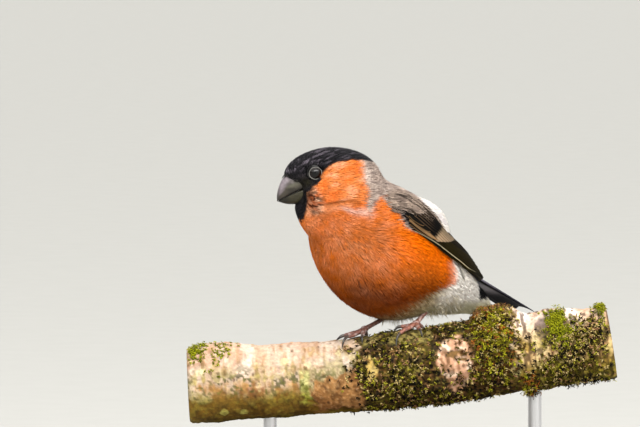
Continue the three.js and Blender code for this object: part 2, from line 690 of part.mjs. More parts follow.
// thin cuts part the outline into head, neck and trunk
function thinCut(point, normal) {
  const m = new THREE.Matrix4().lookAt(normal, new THREE.Vector3(), v3([1, 0, 0])).setPosition(point);
  return toSolid(into(new THREE.BoxGeometry(110, 110, GAP).applyMatrix4(m), birdToPart));
}
body = body
  .subtract(thinCut(v3(HEAD_CUT.at).applyMatrix4(headToBird), v3(HEAD_CUT.normal).transformDirection(headToBird)))
  .subtract(thinCut(v3(NECK_CUT.at), v3(NECK_CUT.normal)));
const lumps = body
  .decompose()
  .filter((s) => s.volume() > 300)
  .map((s) => {
    const b = s.boundingBox();
    return { s, z: (b.min[2] + b.max[2]) / 2 };
  })
  .sort((a, b) => b.z - a.z);
put("head", lumps[0].s, BLACK);
put("neck", lumps[1].s, ORANGE);
put("trunk", lumps[2].s, ORANGE);
put("wing_left", wingSolids.left, GREY);
put("wing_right", wingSolids.right, GREY);
put("tail", tailSolid, BLACK);
put("bill_upper", upper, HORN);
put("bill_lower", lower, HORN);
put("eye_left", eyeSolids.left, EYE_DARK);
put("eye_right", eyeSolids.right, EYE_DARK);
for (const side of ["left", "right"]) {
  const part = legs[side];
  put("leg_" + side, part.leg, LEG);
  put("foot_" + side, part.toes, LEG);
  for (const toe of Object.keys(part.claws)) put(`claw_${side}_${toe}`, part.claws[toe], CLAW);
}
put("perch", perchSolid, BARK);
put("stand_rod_left", rods[0].solid, STEEL);
put("stand_rod_right", rods[1].solid, STEEL);
put("stand_base", base, WOOD);

export default object;
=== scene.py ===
import math

import bpy
import numpy as np
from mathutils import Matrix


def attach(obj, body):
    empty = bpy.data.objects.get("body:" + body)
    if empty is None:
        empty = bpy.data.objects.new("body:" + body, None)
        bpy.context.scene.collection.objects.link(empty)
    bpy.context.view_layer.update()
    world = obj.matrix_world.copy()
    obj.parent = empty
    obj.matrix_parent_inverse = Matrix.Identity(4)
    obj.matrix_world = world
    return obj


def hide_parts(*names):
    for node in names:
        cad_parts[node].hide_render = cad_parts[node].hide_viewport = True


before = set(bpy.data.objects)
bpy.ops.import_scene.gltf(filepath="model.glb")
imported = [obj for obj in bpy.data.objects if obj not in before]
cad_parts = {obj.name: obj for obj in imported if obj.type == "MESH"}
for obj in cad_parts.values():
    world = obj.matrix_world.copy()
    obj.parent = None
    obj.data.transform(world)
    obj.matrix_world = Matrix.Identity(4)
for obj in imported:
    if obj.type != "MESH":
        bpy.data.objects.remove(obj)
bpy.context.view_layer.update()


# ---------------------------------------------------------------- the bird's frames and outline, in millimetres, as the solids have them
def rot_z(a):
    c, s = np.cos(np.radians(a)), np.sin(np.radians(a))
    return np.array([[c, -s, 0], [s, c, 0], [0, 0, 1.0]])


def rot_y(a):
    c, s = np.cos(np.radians(a)), np.sin(np.radians(a))
    return np.array([[c, 0, s], [0, 1.0, 0], [-s, 0, c]])


TRUNK_CENTRE = np.array([-6.55, 0.0, 92.4])
RB = rot_z(180 + 42)  # bird's axes in the part's frame
RH = rot_z(-34) @ rot_y(18)  # head's axes in the bird's frame
HEAD_CENTRE = np.array([24.69, -2.5, 25.2])
GAP = 0.3


def to_part(p):
    return p @ RB.T + TRUNK_CENTRE


def to_bird(p):
    return (p - TRUNK_CENTRE) @ RB


def to_head(p):  # from the bird's frame
    return (p - HEAD_CENTRE) @ RH


def from_head(p):
    return p @ RH.T + HEAD_CENTRE


TRUNK = (0.1, -3.4, 30.8, 25.0, 24.9, 35)
BREAST = (8.4, 3.6, 20.3, 22.0, 18.0, 50)
BELLY = (-20.8, -12.7, 23.5, 19.5, 13.9, 28)
UNDERTAIL = (-40.0, -21.6, 15.5, 9.5, 6.4, 23)
MANTLE = (10.8, 12.1, 20.0, 18.0, 9.7, 45)
RUMP = (-18.0, 5.4, 11.0, 13.5, 10.5, 35)
NECK_FROM, NECK_TO, NECK_R = from_head(np.array([-3, 0, -4.0])), np.array([12.8, -0.5, 5.7]), (14.2, 14.4)
SKULL = ((1.0, 0, -3.6), (16.5, 12.4, 10.15))
FOREHEAD = ((5.5, 0, 5.2), (11.8, 7.6, 7.4))
CHEEK = ((-2.5, 5.8, -4), (10, 7, 8))
THROAT = ((10.4, 0, -9.8), (6.5, 6.2, 9.5))
EYE_AT, EYE_R, EYE_PROUD = (5.35, 4.2), 3.4, 0.7


def smooth_min(a, b, k):
    h = np.clip(0.5 + 0.5 * (b - a) / k, 0, 1)
    return b + (a - b) * h - k * h * (1 - h)


def ellipsoid(x, y, z, rx, ry, rz):
    k0 = np.sqrt((x / rx) ** 2 + (y / ry) ** 2 + (z / rz) ** 2)
    k1 = np.sqrt((x / rx**2) ** 2 + (y / ry**2) ** 2 + (z / rz**2) ** 2)
    return k0 * (k0 - 1) / np.maximum(k1, 1e-9)


def lobe(p, s, y0=0.0):
    c, n = np.cos(np.radians(s[5])), np.sin(np.radians(s[5]))
    dx, dz = p[..., 0] - s[0], p[..., 2] - s[1]
    return ellipsoid(dx * c + dz * n, p[..., 1] - y0, -dx * n + dz * c, s[2], s[3], s[4])


def outline(p):
    """Distance to the feathered outline, in the bird's frame: below 0 inside."""
    d = lobe(p, TRUNK)
    d = smooth_min(d, lobe(p, BREAST, -1), 6)
    d = smooth_min(d, lobe(p, BELLY), 8)
    d = smooth_min(d, lobe(p, UNDERTAIL), 7)
    d = smooth_min(d, lobe(p, MANTLE, -0.5), 6)
    d = smooth_min(d, lobe(p, RUMP), 4)
    h = to_head(p)

    def at(s, side=1):
        (x, y, z), r = s
        return ellipsoid(h[..., 0] - x, h[..., 1] - side * y, h[..., 2] - z, *r)

    head = smooth_min(at(SKULL), at(FOREHEAD), 4)
    head = smooth_min(head, at(CHEEK, 1), 3)
    head = smooth_min(head, at(CHEEK, -1), 3)
    head = smooth_min(head, at(THROAT), 3)
    line = NECK_TO - NECK_FROM
    q = p - NECK_FROM
    t = np.clip(q @ line / (line @ line), 0, 1)
    tube = np.sqrt(((q - t[..., None] * line) ** 2).sum(-1)) - (NECK_R[0] + (NECK_R[1] - NECK_R[0]) * t)
    d = smooth_min(d, tube, 7)
    return smooth_min(d, head, 6)


def slope_of(f, p, e=0.05):
    g = np.empty_like(p)
    for i in range(3):
        o = np.zeros(3)
        o[i] = e
        g[..., i] = f(p + o) - f(p - o)
    return g / np.maximum(np.linalg.norm(g, axis=-1, keepdims=True), 1e-9)


def reach(o, d, level=0.0, f=outline):
    """How far from o along d the outline's level lies."""
    s = np.full(o.shape[:-1], 1.0)
    for _ in range(45):
        v = f(o + d * s[..., None]) - level
        s = np.where(v < -0.02, s + np.maximum(-v * 0.8, 0.02), s)
    for _ in range(6):
        s = s - 0.8 * (f(o + d * s[..., None]) - level)
    return s


def unit(v):
    return v / np.maximum(np.linalg.norm(v, axis=-1, keepdims=True), 1e-9)


def smooth_table(table, t):
    """Values from a short table of (place, value), smoothly joined, as the solids have them."""
    x, y = np.array(table, float).T
    n = len(x)
    m = np.array([(y[min(j + 1, n - 1)] - y[max(j - 1, 0)]) / (x[min(j + 1, n - 1)] - x[max(j - 1, 0)]) for j in range(n)])
    t = np.clip(np.asarray(t, float), x[0], x[-1])
    i = np.clip(np.searchsorted(x, t, "left") - 1, 0, n - 2)
    w = x[i + 1] - x[i]
    u = (t - x[i]) / w
    return (2 * u**3 - 3 * u**2 + 1) * y[i] + (u**3 - 2 * u**2 + u) * m[i] * w + (-2 * u**3 + 3 * u**2) * y[i + 1] + (u**3 - u**2) * m[i + 1] * w


# folded wing
WING_FROM, WING_PITCH, WING_START, WING_TIP = np.array([20, 0, 12.0]), 28.5, 1.5, 70.5
WING_LOW = [(0, 20), (0.06, 11), (0.12, 5.5), (0.2, 1), (0.45, 0), (0.7, 0), (0.84, 4.5), (0.93, 15), (1, 38)]
WING_HIGH = [(0, 30), (0.12, 44), (0.26, 40), (0.37, 33), (0.44, 27), (0.55, 30), (0.75, 44), (0.92, 52), (1, 48)]
WING_RISE = [(0, 0.2), (0.15, 0.9), (0.5, 1.6), (0.75, 2.2), (1, 2.6)]
WING_SINK = [(0, 0.8), (0.3, 1.4), (0.7, 0.6), (0.85, -0.5), (1, -1.3)]
WING_BACK = np.array([-np.cos(np.radians(WING_PITCH)), 0, -np.sin(np.radians(WING_PITCH))])
WING_UP = np.array([-np.sin(np.radians(WING_PITCH)), 0, np.cos(np.radians(WING_PITCH))])


def on_wing(side, s, w, rise):
    """A point of the folded wing: s from its bend to its tip, w from its lower edge to its upper one, rise above the body's outline."""
    s, w, rise = np.broadcast_arrays(np.asarray(s, float), np.asarray(w, float), np.asarray(rise, float))
    low, high = smooth_table(WING_LOW, s), smooth_table(WING_HIGH, s)
    turn = np.radians(low + (high - low) * w)
    o = WING_FROM + WING_BACK * (WING_START + (WING_TIP - WING_START) * s)[..., None]
    d = np.cos(turn)[..., None] * np.array([0, side, 0.0]) + np.sin(turn)[..., None] * WING_UP
    return o + d * (reach(o, d) + rise)[..., None]


# ---------------------------------------------------------------- small tools
def srgb(r, g, b):
    c = np.array([r, g, b], float) / 255
    return np.where(c <= 0.04045, c / 12.92, ((c + 0.055) / 1.055) ** 2.4)


def ramp(x, a, b):
    t = np.clip((np.asarray(x, float) - a) / (b - a), 0, 1)
    return t * t * (3 - 2 * t)


def mix(a, b, t):
    t = np.asarray(t, float)
    if np.ndim(t):
        t = t[..., None]
    return a + (b - a) * t


def stacked(*arrays):
    return np.stack(np.broadcast_arrays(*arrays), -1)


def hashed(ix, iy, iz, seed):
    h = (ix * 73856093) ^ (iy * 19349663) ^ (iz * 83492791) ^ (seed * 2654435761)
    h = (h ^ (h >> 13)) * 1274126177 & 0xFFFFFFFF
    h = (h ^ (h >> 16)) * 2246822519 & 0xFFFFFFFF
    return ((h ^ (h >> 15)) & 0xFFFFFF) / float(0xFFFFFF)


def noise(p, size, seed=1, octaves=1):
    """Smooth noise from -1 to 1 over points p, with lumps about size across."""
    total, gain, norm = 0.0, 1.0, 0.0
    for o in range(octaves):
        q = np.asarray(p, float) / size * 2**o + 1000.0
        i = np.floor(q).astype(np.int64)
        f = q - i
        f = f * f * (3 - 2 * f)
        v = 0.0
        for dx in (0, 1):
            for dy in (0, 1):
                for dz in (0, 1):
                    w = (f[..., 0] if dx else 1 - f[..., 0]) * (f[..., 1] if dy else 1 - f[..., 1]) * (f[..., 2] if dz else 1 - f[..., 2])
                    v = v + w * hashed(i[..., 0] + dx, i[..., 1] + dy, i[..., 2] + dz, seed + 17 * o)
        total, norm, gain = total + gain * (2 * v - 1), norm + gain, gain * 0.55
    return total / norm


def cells(p, size, seed=1):
    """Distance to the nearest point of a jittered grid, and that point's own random number."""
    q = np.asarray(p, float) / size + 1000.0
    i = np.floor(q).astype(np.int64)
    best = np.full(q.shape[:-1], 9.0)
    second = np.full(q.shape[:-1], 9.0)
    tag = np.zeros(q.shape[:-1])
    for dx in (-1, 0, 1):
        for dy in (-1, 0, 1):
            for dz in (-1, 0, 1):
                a, b, c = i[..., 0] + dx, i[..., 1] + dy, i[..., 2] + dz
                x = a + hashed(a, b, c, seed) - q[..., 0]
                y = b + hashed(a, b, c, seed + 1) - q[..., 1]
                z = c + hashed(a, b, c, seed + 2) - q[..., 2]
                d = np.sqrt(x * x + y * y + z * z)
                near = d < best
                second = np.where(near, best, np.minimum(second, d))
                tag = np.where(near, hashed(a, b, c, seed + 3), tag)
                best = np.where(near, d, best)
    return best * size, second * size, tag


def to_line(p, pts):
    """Distance from p to a line of points, and the share of its length."""
    pts = np.asarray(pts, float)
    best = np.full(p.shape[:-1], 1e9)
    share = np.zeros(p.shape[:-1])
    n = len(pts) - 1
    for i in range(n):
        a, b = pts[i], pts[i + 1]
        ab = b - a
        t = np.clip(((p - a) @ ab) / (ab @ ab), 0, 1)
        d = np.linalg.norm(p - a - t[..., None] * ab, axis=-1)
        share = np.where(d < best, (i + t) / n, share)
        best = np.minimum(d, best)
    return best, share


def make(name, verts, faces, material, colours=None, marks=None, uv=None, replaces=(), smooth=True, into_part=False):
    """One named piece of the object, from points in millimetres and a list of arrays of faces."""
    verts = np.asarray(verts, float).reshape(-1, 3)
    if into_part:
        verts = to_part(verts)
    faces = [np.asarray(f, np.int64) for f in (faces if isinstance(faces, list) else [faces]) if len(f)]
    mesh = bpy.data.meshes.new(name)
    mesh.vertices.add(len(verts))
    mesh.vertices.foreach_set("co", (verts * 0.001).astype(np.float32).ravel())
    corners = np.concatenate([f.ravel() for f in faces])
    sizes = np.concatenate([np.full(len(f), f.shape[1]) for f in faces])
    mesh.loops.add(len(corners))
    mesh.loops.foreach_set("vertex_index", corners.astype(np.int32))
    mesh.polygons.add(len(sizes))
    mesh.polygons.foreach_set("loop_start", np.concatenate([[0], np.cumsum(sizes)[:-1]]).astype(np.int32))
    mesh.update(calc_edges=True)
    if uv is not None:
        uv = np.asarray(uv, float)
        layer = mesh.uv_layers.new(name="OFBake")
        layer.data.foreach_set("uv", (uv[corners] if len(uv) == len(verts) else uv).astype(np.float32).ravel())
    for key, data in (("Col", colours), ("Mark", marks)):
        if data is not None:
            data = np.broadcast_to(np.asarray(data, float), (len(verts), 3))
            layer = mesh.color_attributes.new(key, "FLOAT_COLOR", "POINT")
            layer.data.foreach_set("color", np.concatenate([data, np.ones((len(data), 1))], 1).astype(np.float32).ravel())
    mesh.polygons.foreach_set("use_smooth", np.full(len(sizes), smooth))
    mesh.materials.append(material)
    mesh.validate()
    obj = bpy.data.objects.new(name, mesh)
    bpy.context.scene.collection.objects.link(obj)
    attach(obj, "root")
    if replaces:
        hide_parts(*replaces)
    return obj


def tube_faces(rings, sides, closed_ends=True):
    """Faces of rings x sides points; the two ends are closed by a point each, given last."""
    i, j = np.meshgrid(np.arange(rings - 1), np.arange(sides), indexing="ij")
    a = i * sides + j
    b = i * sides + (j + 1) % sides
    quads = np.stack([a, b, b + sides, a + sides], -1).reshape(-1, 4)
    if not closed_ends:
        return [quads]
    j = np.arange(sides)
    m = rings * sides
    o = (rings - 1) * sides
    first = np.stack([np.full(sides, m), (j + 1) % sides, j], -1)
    last = np.stack([np.full(sides, m + 1), o + j, o + (j + 1) % sides], -1)
    return [quads, np.concatenate([first, last])]


def outward(verts, faces):
    """The same faces, turned to face out of the closed shape."""
    v = 0.0
    for f in faces:
        for k in range(1, f.shape[1] - 1):
            v += np.einsum("ij,ij->", verts[f[:, 0]], np.cross(verts[f[:, k]], verts[f[:, k + 1]]))
    return faces if v > 0 else [f[:, ::-1] for f in faces]


def frames_along(points, up):
    t = np.gradient(points, axis=0)
    t = unit(t)
    n = unit(up - (up * t).sum(-1, keepdims=True) * t)
    return t, n, np.cross(t, n)


def sweep(points, radii, sides=20, up=(0, 0, 1.0), flat=1.0, bumps=None):
    """A round tube along points, closed at both ends. bumps(share, turn) changes its radius."""
    points = np.asarray(points, float)
    t, n, m = frames_along(points, np.broadcast_to(np.asarray(up, float), points.shape))
    q = np.arange(sides) / sides * 2 * np.pi
    r = np.asarray(radii, float)[:, None] * np.ones(sides)
    if bumps is not None:
        share = np.linspace(0, 1, len(points))[:, None]
        r = r + bumps(share, q[None, :])
    ring = points[:, None] + n[:, None] * (np.cos(q) * r)[..., None] + m[:, None] * (np.sin(q) * r * flat)[..., None]
    ends = np.stack([points[0] - t[0] * r[0].mean() * 0.5, points[-1] + t[-1] * r[-1].mean() * 0.5])
    verts = np.concatenate([ring.reshape(-1, 3), ends])
    return verts, outward(verts, tube_faces(len(points), sides))


def join(parts):
    """Several (verts, faces, colours, marks) as one."""
    verts, quads, tris, cols, marks, at = [], [], [], [], [], 0
    for part in parts:
        v, faces, c = part[0], part[1], part[2]
        k = part[3] if len(part) > 3 else np.zeros(3)
        for f in faces:
            (quads if f.shape[1] == 4 else tris).append(f + at)
        verts.append(v)
        cols.append(np.broadcast_to(c, (len(v), 3)))
        marks.append(np.broadcast_to(k, (len(v), 3)))
        at += len(v)
    faces = [np.concatenate(x) for x in (quads, tris) if x]
    return np.concatenate(verts), faces, np.concatenate(cols), np.concatenate(marks)


def resampled(points, n):
    """n points evenly along a smooth curve through the given ones."""
    p = np.asarray(points, float)
    pad = np.concatenate([[2 * p[0] - p[1]], p, [2 * p[-1] - p[-2]]])
    out = []
    for i in range(1, len(pad) - 2):
        a, b, c, d = pad[i - 1 : i + 3]
        t = np.linspace(0, 1, 24, endpoint=False)[:, None]
        out.append(0.5 * (2 * b + (c - a) * t + (2 * a - 5 * b + 4 * c - d) * t**2 + (3 * b - a - 3 * c + d) * t**3))
    out = np.concatenate(out + [p[-1:]])
    s = np.concatenate([[0], np.cumsum(np.linalg.norm(np.diff(out, axis=0), axis=1))])
    want = np.linspace(0, s[-1], n)
    return np.stack([np.interp(want, s, out[:, k]) for k in range(3)], -1)


# ---------------------------------------------------------------- materials
def material(name, rough, **sockets):
    mat = bpy.data.materials.new(name)
    mat.use_nodes = True
    tree = mat.node_tree
    tree.nodes.clear()
    out = tree.nodes.new("ShaderNodeOutputMaterial")
    shader = tree.nodes.new("ShaderNodeBsdfPrincipled")
    tree.links.new(shader.outputs[0], out.inputs[0])
    shader.inputs["Roughness"].default_value = rough
    for key, value in sockets.items():
        shader.inputs[key.replace("_", " ")].default_value = value
    return mat, tree, shader


def node(tree, kind, *inputs, **settings):
    n = tree.nodes.new("ShaderNode" + kind)
    for key, value in settings.items():
        setattr(n, key, value)
    for i, value in enumerate(inputs):
        if value is None:
            continue
        if isinstance(value, bpy.types.NodeSocket):
            tree.links.new(value, n.inputs[i])
        else:
            n.inputs[i].default_value = value
    return n


def attribute(tree, name):
    return node(tree, "Attribute", attribute_name=name)


def maths(tree, operation, a, b=None, c=None):
    return node(tree, "Math", a, b, c, operation=operation).outputs[0]


def noise_node(tree, scale, detail=2.0, rough=0.5, vector=None):
    n = tree.nodes.new("ShaderNodeTexNoise")
    n.inputs["Scale"].default_value = scale
    n.inputs["Detail"].default_value = detail
    n.inputs["Roughness"].default_value = rough
    if vector is None:
        vector = tree.nodes.new("ShaderNodeTexCoord").outputs["Object"]
    tree.links.new(vector, n.inputs["Vector"])
    return n


def remap(tree, value, a, b, c, d):
    n = node(tree, "MapRange", value, a, b, c, d)
    return n.outputs[0]


def tinted(tree, colour, factor):
    """colour times a grey factor."""
    n = node(tree, "VectorMath", colour, operation="SCALE")
    if isinstance(factor, bpy.types.NodeSocket):
        tree.links.new(factor, n.inputs["Scale"])
    else:
        n.inputs["Scale"].default_value = factor
    return n.outputs[0]


def bump(tree, shader, height, strength, distance):
    n = tree.nodes.new("ShaderNodeBump")
    n.inputs["Strength"].default_value = strength
    n.inputs["Distance"].default_value = distance
    tree.links.new(height, n.inputs["Height"])
    tree.links.new(n.outputs[0], shader.inputs["Normal"])
    return n


def painted(name, rough, patch_scale=900.0, patch=(0.86, 1.14), bump_scale=None, bump_by=(0.2, 0.0002), rough_by=None, **sockets):
    """A surface with its colours held at its points and a fine unevenness laid over them."""
    mat, tree, shader = material(name, rough, **sockets)
    col = attribute(tree, "Col").outputs["Color"]
    fine = noise_node(tree, patch_scale, 3.0)
    factor = remap(tree, fine.outputs["Fac"], 0.3, 0.7, *patch)
    tree.links.new(tinted(tree, col, factor), shader.inputs["Base Color"])
    if rough_by:
        tree.links.new(remap(tree, fine.outputs["Fac"], 0.3, 0.7, *rough_by), shader.inputs["Roughness"])
    if bump_scale:
        b = noise_node(tree, bump_scale, 4.0, 0.6)
        bump(tree, shader, b.outputs["Fac"], *bump_by)
    return mat


def feather_material(name, rough, barb_depth, **sockets):
    """Vane of a feather: its Mark holds the share of its length, the share across, and its own random number."""
    mat, tree, shader = material(name, rough, **sockets)
    col = attribute(tree, "Col").outputs["Color"]
    mark = node(tree, "SeparateColor", attribute(tree, "Mark").outputs["Color"])
    along_, across = mark.outputs[0], mark.outputs[1]
    lean = maths(tree, "ABSOLUTE", across)
    phase = maths(tree, "ADD", maths(tree, "MULTIPLY", along_, 1.0), maths(tree, "MULTIPLY", lean, -2.2))
    wave = maths(tree, "SINE", maths(tree, "MULTIPLY", phase, 16.0))
    uneven = noise_node(tree, 1300.0, 2.0)
    factor = maths(tree, "ADD", remap(tree, wave, -1, 1, 0.9, 1.06), remap(tree, uneven.outputs["Fac"], 0.3, 0.7, -0.12, 0.12))
    tree.links.new(tinted(tree, col, factor), shader.inputs["Base Color"])
    bump(tree, shader, wave, 0.35, barb_depth)
    return mat


M_COAT = painted("plumage", 0.7, 1100.0, (0.94, 1.06), Specular_IOR_Level=0.015)
M_BLACK = painted("plumage_black", 0.36, 1100.0, (0.8, 1.25), Specular_IOR_Level=0.24, Specular_Tint=(0.88, 0.86, 1.0, 1.0))
M_SKIN = painted("skin", 0.8, 700.0, (0.85, 1.1), 1500.0, (0.5, 0.0003), Specular_IOR_Level=0.15)
M_VANE = feather_material("flight_feather", 0.55, 0.00003, Specular_IOR_Level=0.012)
M_BILL = painted("bill_horn", 0.34, 600.0, (0.85, 1.15), 1800.0, (0.12, 0.0001), (0.28, 0.42), Specular_IOR_Level=0.34)
M_EYE = painted("eye", 0.05, 500.0, (0.9, 1.1), Specular_IOR_Level=0.28)
M_LID = painted("eye_ring", 0.5, 1500.0, (0.8, 1.2), 3000.0, (0.4, 0.0001), Specular_IOR_Level=0.4)
M_LEG = painted("leg_skin", 0.46, 1200.0, (0.82, 1.16), 2600.0, (0.3, 0.00012), Specular_IOR_Level=0.45)
M_CLAW = painted("claw_horn", 0.3, 900.0, (0.85, 1.15), 2200.0, (0.15, 0.00006), Specular_IOR_Level=0.5)
M_BARK = painted("bark", 0.86, 650.0, (0.82, 1.16), 1400.0, (0.7, 0.0004), (0.78, 0.95), Specular_IOR_Level=0.2)
M_MOSS = painted("moss", 0.7, 900.0, (0.75, 1.3), Specular_IOR_Level=0.08)


# ---------------------------------------------------------------- markings, the same for skin and coat
ORANGE_CHEEK = srgb(228, 137, 75)
ORANGE_BREAST = srgb(222, 115, 32)
ORANGE_FLANK = srgb(246, 119, 0)
ORANGE_PAINTED_SHADE = srgb(122, 50, 0)
PINK = srgb(244, 180, 142)
GREY = srgb(156, 137, 127)
WEDGE = srgb(226, 190, 176)
WHITE = srgb(254, 249, 242)
BEIGE = srgb(176, 148, 92)
BLACK = srgb(13, 12, 13)
MUTED_BROWN = srgb(176, 122, 84)
CREASE_PAINTED_SHADE = srgb(92, 38, 14)

FOLD_LINE = [(36.2, 1.5, 14.6), (35.2, 4.1, 15.0), (33.5, 7.2, 15.6), (31.2, 10.1, 16.3), (29.1, 12.0, 16.6), (26.9, 13.5, 16.65), (24.4, 14.8, 16.5)]
WING_EDGE_SHADOW = [(-20.2, 20.3, -6.6), (-22.3, 20.1, -9.9), (-24.3, 19.7, -14.2)]
CAP_X = [-30, -21, -17.5, -15.6, -13.5, -10.3, -8.9, -4.25, -1.7, 0.65, 3.3, 5.6, 8.2, 10.1, 12.1, 13.4, 15.3]
CAP_Z = [22, 8.5, 1.2, 2.2, 3.4, 4.6, 5.1, 6.0, 6.2, 5.9, 4.1, 1.5, 0.2, -0.8, -1.6, -4.6, -9.0]
BILL_ROOT = from_head(np.array([13.5, 0, -1.0]))


def fold(p):
    """The crease below the cheek, where the turned head meets the breast, the face drawn in round the bill's sides,
    the eyes' rims, and the loose plumage of the nape."""
    d, s = to_line(p, FOLD_LINE)
    crease = 1.25 * np.exp(-((d / 0.95) ** 2)) * ramp(s, 0, 0.25) * ramp(s, 1, 0.8)
    h = to_head(p)
    face = 3.2 * ramp(h[..., 0], 10.2, 13.2) * np.exp(-(((h[..., 2] + 1.2) / 4.2) ** 2))
    q = (p - np.array([16.0, 8.0, 30.5])) / np.array([6.0, 9.0, 5.0])
    rim = 0.0
    for side in (1, -1):
        q2 = h - np.array([EYE_AT[0] + 0.85, 0, EYE_AT[1] + 0.6])
        rim = rim + 0.6 * np.exp(-(((q2[..., 0] ** 2 + q2[..., 2] ** 2) / 3.5**2) ** 2)) * (h[..., 1] * side > 4)
    low_back = (p - np.array([-14.0, 0, 15.0])) / np.array([6.0, 19.0, 5.0])
    return crease + face + rim - 0.9 * np.exp(-(q**2).sum(-1)) - 0.45 * np.exp(-((low_back**2).sum(-1) ** 2))


def feathered(p):
    return outline(p) + fold(p)


def coat_depth(p):
    return np.interp(np.linalg.norm(p - BILL_ROOT, axis=-1), [3, 9, 14, 20, 30, 50], [0.3, 0.5, 0.7, 1.0, 1.6, 2.1])


def markings(p, rough=1.0):
    """Colour of the plumage at points of the bird's frame, and how black it is."""
    x, y, z = p[..., 0], p[..., 1], p[..., 2]
    h = to_head(p)
    hx, hy, hz = h[..., 0], np.abs(h[..., 1]), h[..., 2]
    soft = rough * noise(p, 2.6, 5, 2)
    fine = rough * noise(p, 1.0, 9)
    big = noise(p, 9.0, 3, 2)
    back = (p - WING_FROM) @ WING_BACK
    above = (p - WING_FROM) @ WING_UP
    near_head = ramp(hz, -13, -8.5)

    c = mix(ORANGE_BREAST, ORANGE_CHEEK, ramp(hz, -13, -9))
    vivid = ramp(above, -15, -1) * ramp(back, 1, 20)
    c = mix(c, ORANGE_FLANK, np.clip(vivid * (0.9 + 0.3 * soft), 0, 1))
    # painted shade: the orange turns darker towards the underside
    c = mix(c, ORANGE_PAINTED_SHADE, np.clip(ramp(z, -5, -22) * (0.85 + 0.3 * big), 0, 1) * (1 - 0.6 * vivid))
    # soft pinkish streaks on the breast, palest in front
    pink = np.clip(0.30 + 0.55 * soft + 0.35 * big, 0, 1) * ramp(x, -4, 18) * (1 - vivid) * ramp(hz, -9, -15) * (0.3 + 0.7 * ramp(z, -22, -4))
    c = mix(c, PINK, 0.55 * pink)
    # a duller, browner patch on the breast's side, below the wing's bend
    muted_patch = np.exp(-(((x - 25) / 8) ** 2 + ((y - 14) / 12) ** 2 + ((z + 0.5) / 7) ** 2))
    c = mix(c, MUTED_BROWN, 0.6 * muted_patch * np.clip(0.55 + 0.9 * noise(p, 1.8, 14, 2), 0, 1))
    front = np.exp(-(((x - 41) / 7) ** 2 + ((y - 2) / 9) ** 2 + ((z - 3) / 9) ** 2))
    c = mix(c, PINK, 0.5 * front * np.clip(0.6 + 0.8 * fine, 0, 1))
    # the cheek's own unevenness
    patch = np.clip(2.2 * noise(h * [0.7, 1, 1.2], 3.2, 15, 2), -1, 1)
    on_cheek = ramp(hz, -12, -9)
    c = mix(c, srgb(252, 184, 142), 0.60 * ramp(patch, 0.1, 0.9) * on_cheek)
    c = mix(c, srgb(232, 112, 34), 0.60 * ramp(patch, -0.1, -0.9) * on_cheek)
    middle = np.exp(-(((x - 19) / 9) ** 2 + ((z - 4) / 8) ** 2))
    c = c * (1 - 0.22 * middle * (1 - on_cheek))[..., None]
    # paler feather edges along the cheek's front and lower side
    d, s = to_line(h * [1, 0, 1] + np.stack([0 * hx, hy, 0 * hx], -1), [(9.5, 9, -1.5), (9.8, 11, -6), (8, 12.5, -10), (2, 15, -10.3)])
    c = mix(c, PINK, 0.62 * np.exp(-((d / 2.1) ** 2)) * np.clip(0.75 + 0.7 * soft, 0, 1))
    # painted shade along the crease below the cheek
    d, s = to_line(p, FOLD_LINE)
    c = mix(c, CREASE_PAINTED_SHADE, 0.95 * np.exp(-((d / 0.95) ** 2)) * ramp(s, 0.1, 0.4) * ramp(s, 1, 0.9))
    # grey-white wedge below the crease
    wedge, s = to_line(p, [(31.5, 9.0, 14.8), (29.8, 10.4, 14.2), (27.9, 11.8, 13.6), (25.8, 13.5, 13.1), (24.0, 14.9, 12.9), (22.1, 16.3, 12.8)])
    c = mix(c, WEDGE, 0.8 * np.exp(-((wedge / (0.7 + 1.3 * s)) ** 2)) * np.clip(0.9 + 0.8 * fine, 0, 1) * ramp(s, 0, 0.25))

    # white behind the orange, on belly and vent; beige where they meet below
    edge = np.interp(z, [-30, -28.1, -25.3, -22.7, -20.6, -19.1, -17.4, -16.2, -13.7, -10.5, -8.1, 0], [-3.5, -4.3, -5.3, -6.6, -8.3, -10.6, -14.4, -19.6, -19.8, -19.0, -17.4, -15])
    width = np.interp(z, [-28, -20, -14], [5.0, 3.0, 1.2])
    white = ramp((edge - x + 0.9 * soft) / width, -0.9, 0.9)
    beige = np.exp(-(((edge - x - 1.8) / (width * 1.6)) ** 2)) * ramp(z, -16.5, -19.5)
    c = mix(c, srgb(255, 178, 142), 0.8 * np.exp(-(((x - edge - 1.4) / 2.4) ** 2)) * ramp(z, -18.5, -16) * ramp(z, -6, -9))
    # the lowest white turns grey-olive: painted shade on the underside
    c = mix(c, mix(WHITE, srgb(172, 164, 104), 0.75 * ramp(z + 0.6 * soft, -21.8, -26)), white)
    c = mix(c, BEIGE, 0.85 * beige * np.clip(0.8 + 0.9 * soft, 0.2, 1))
    strands = np.clip(2.2 * noise(p * [0.5, 1, 1.3], 1.0, 39), -1, 1)
    c = mix(c, mix(srgb(96, 76, 40), srgb(232, 214, 176), 0.5 + 0.5 * strands), 0.5 * beige)
    c = mix(c, srgb(18, 17, 19), ramp(-x + 0.5 * soft, 40.0, 41.0) * ramp(z, -23.4, -22.6))
    # painted shadow: a dark line in the white, below the wing's edge
    d, s = to_line(np.stack([x, np.abs(y), z], -1), WING_EDGE_SHADOW)
    c = mix(c, srgb(120, 118, 120), 0.6 * np.exp(-((d / (1.0 - 0.7 * s)) ** 2)) * ramp(s, 1.0, 0.8))

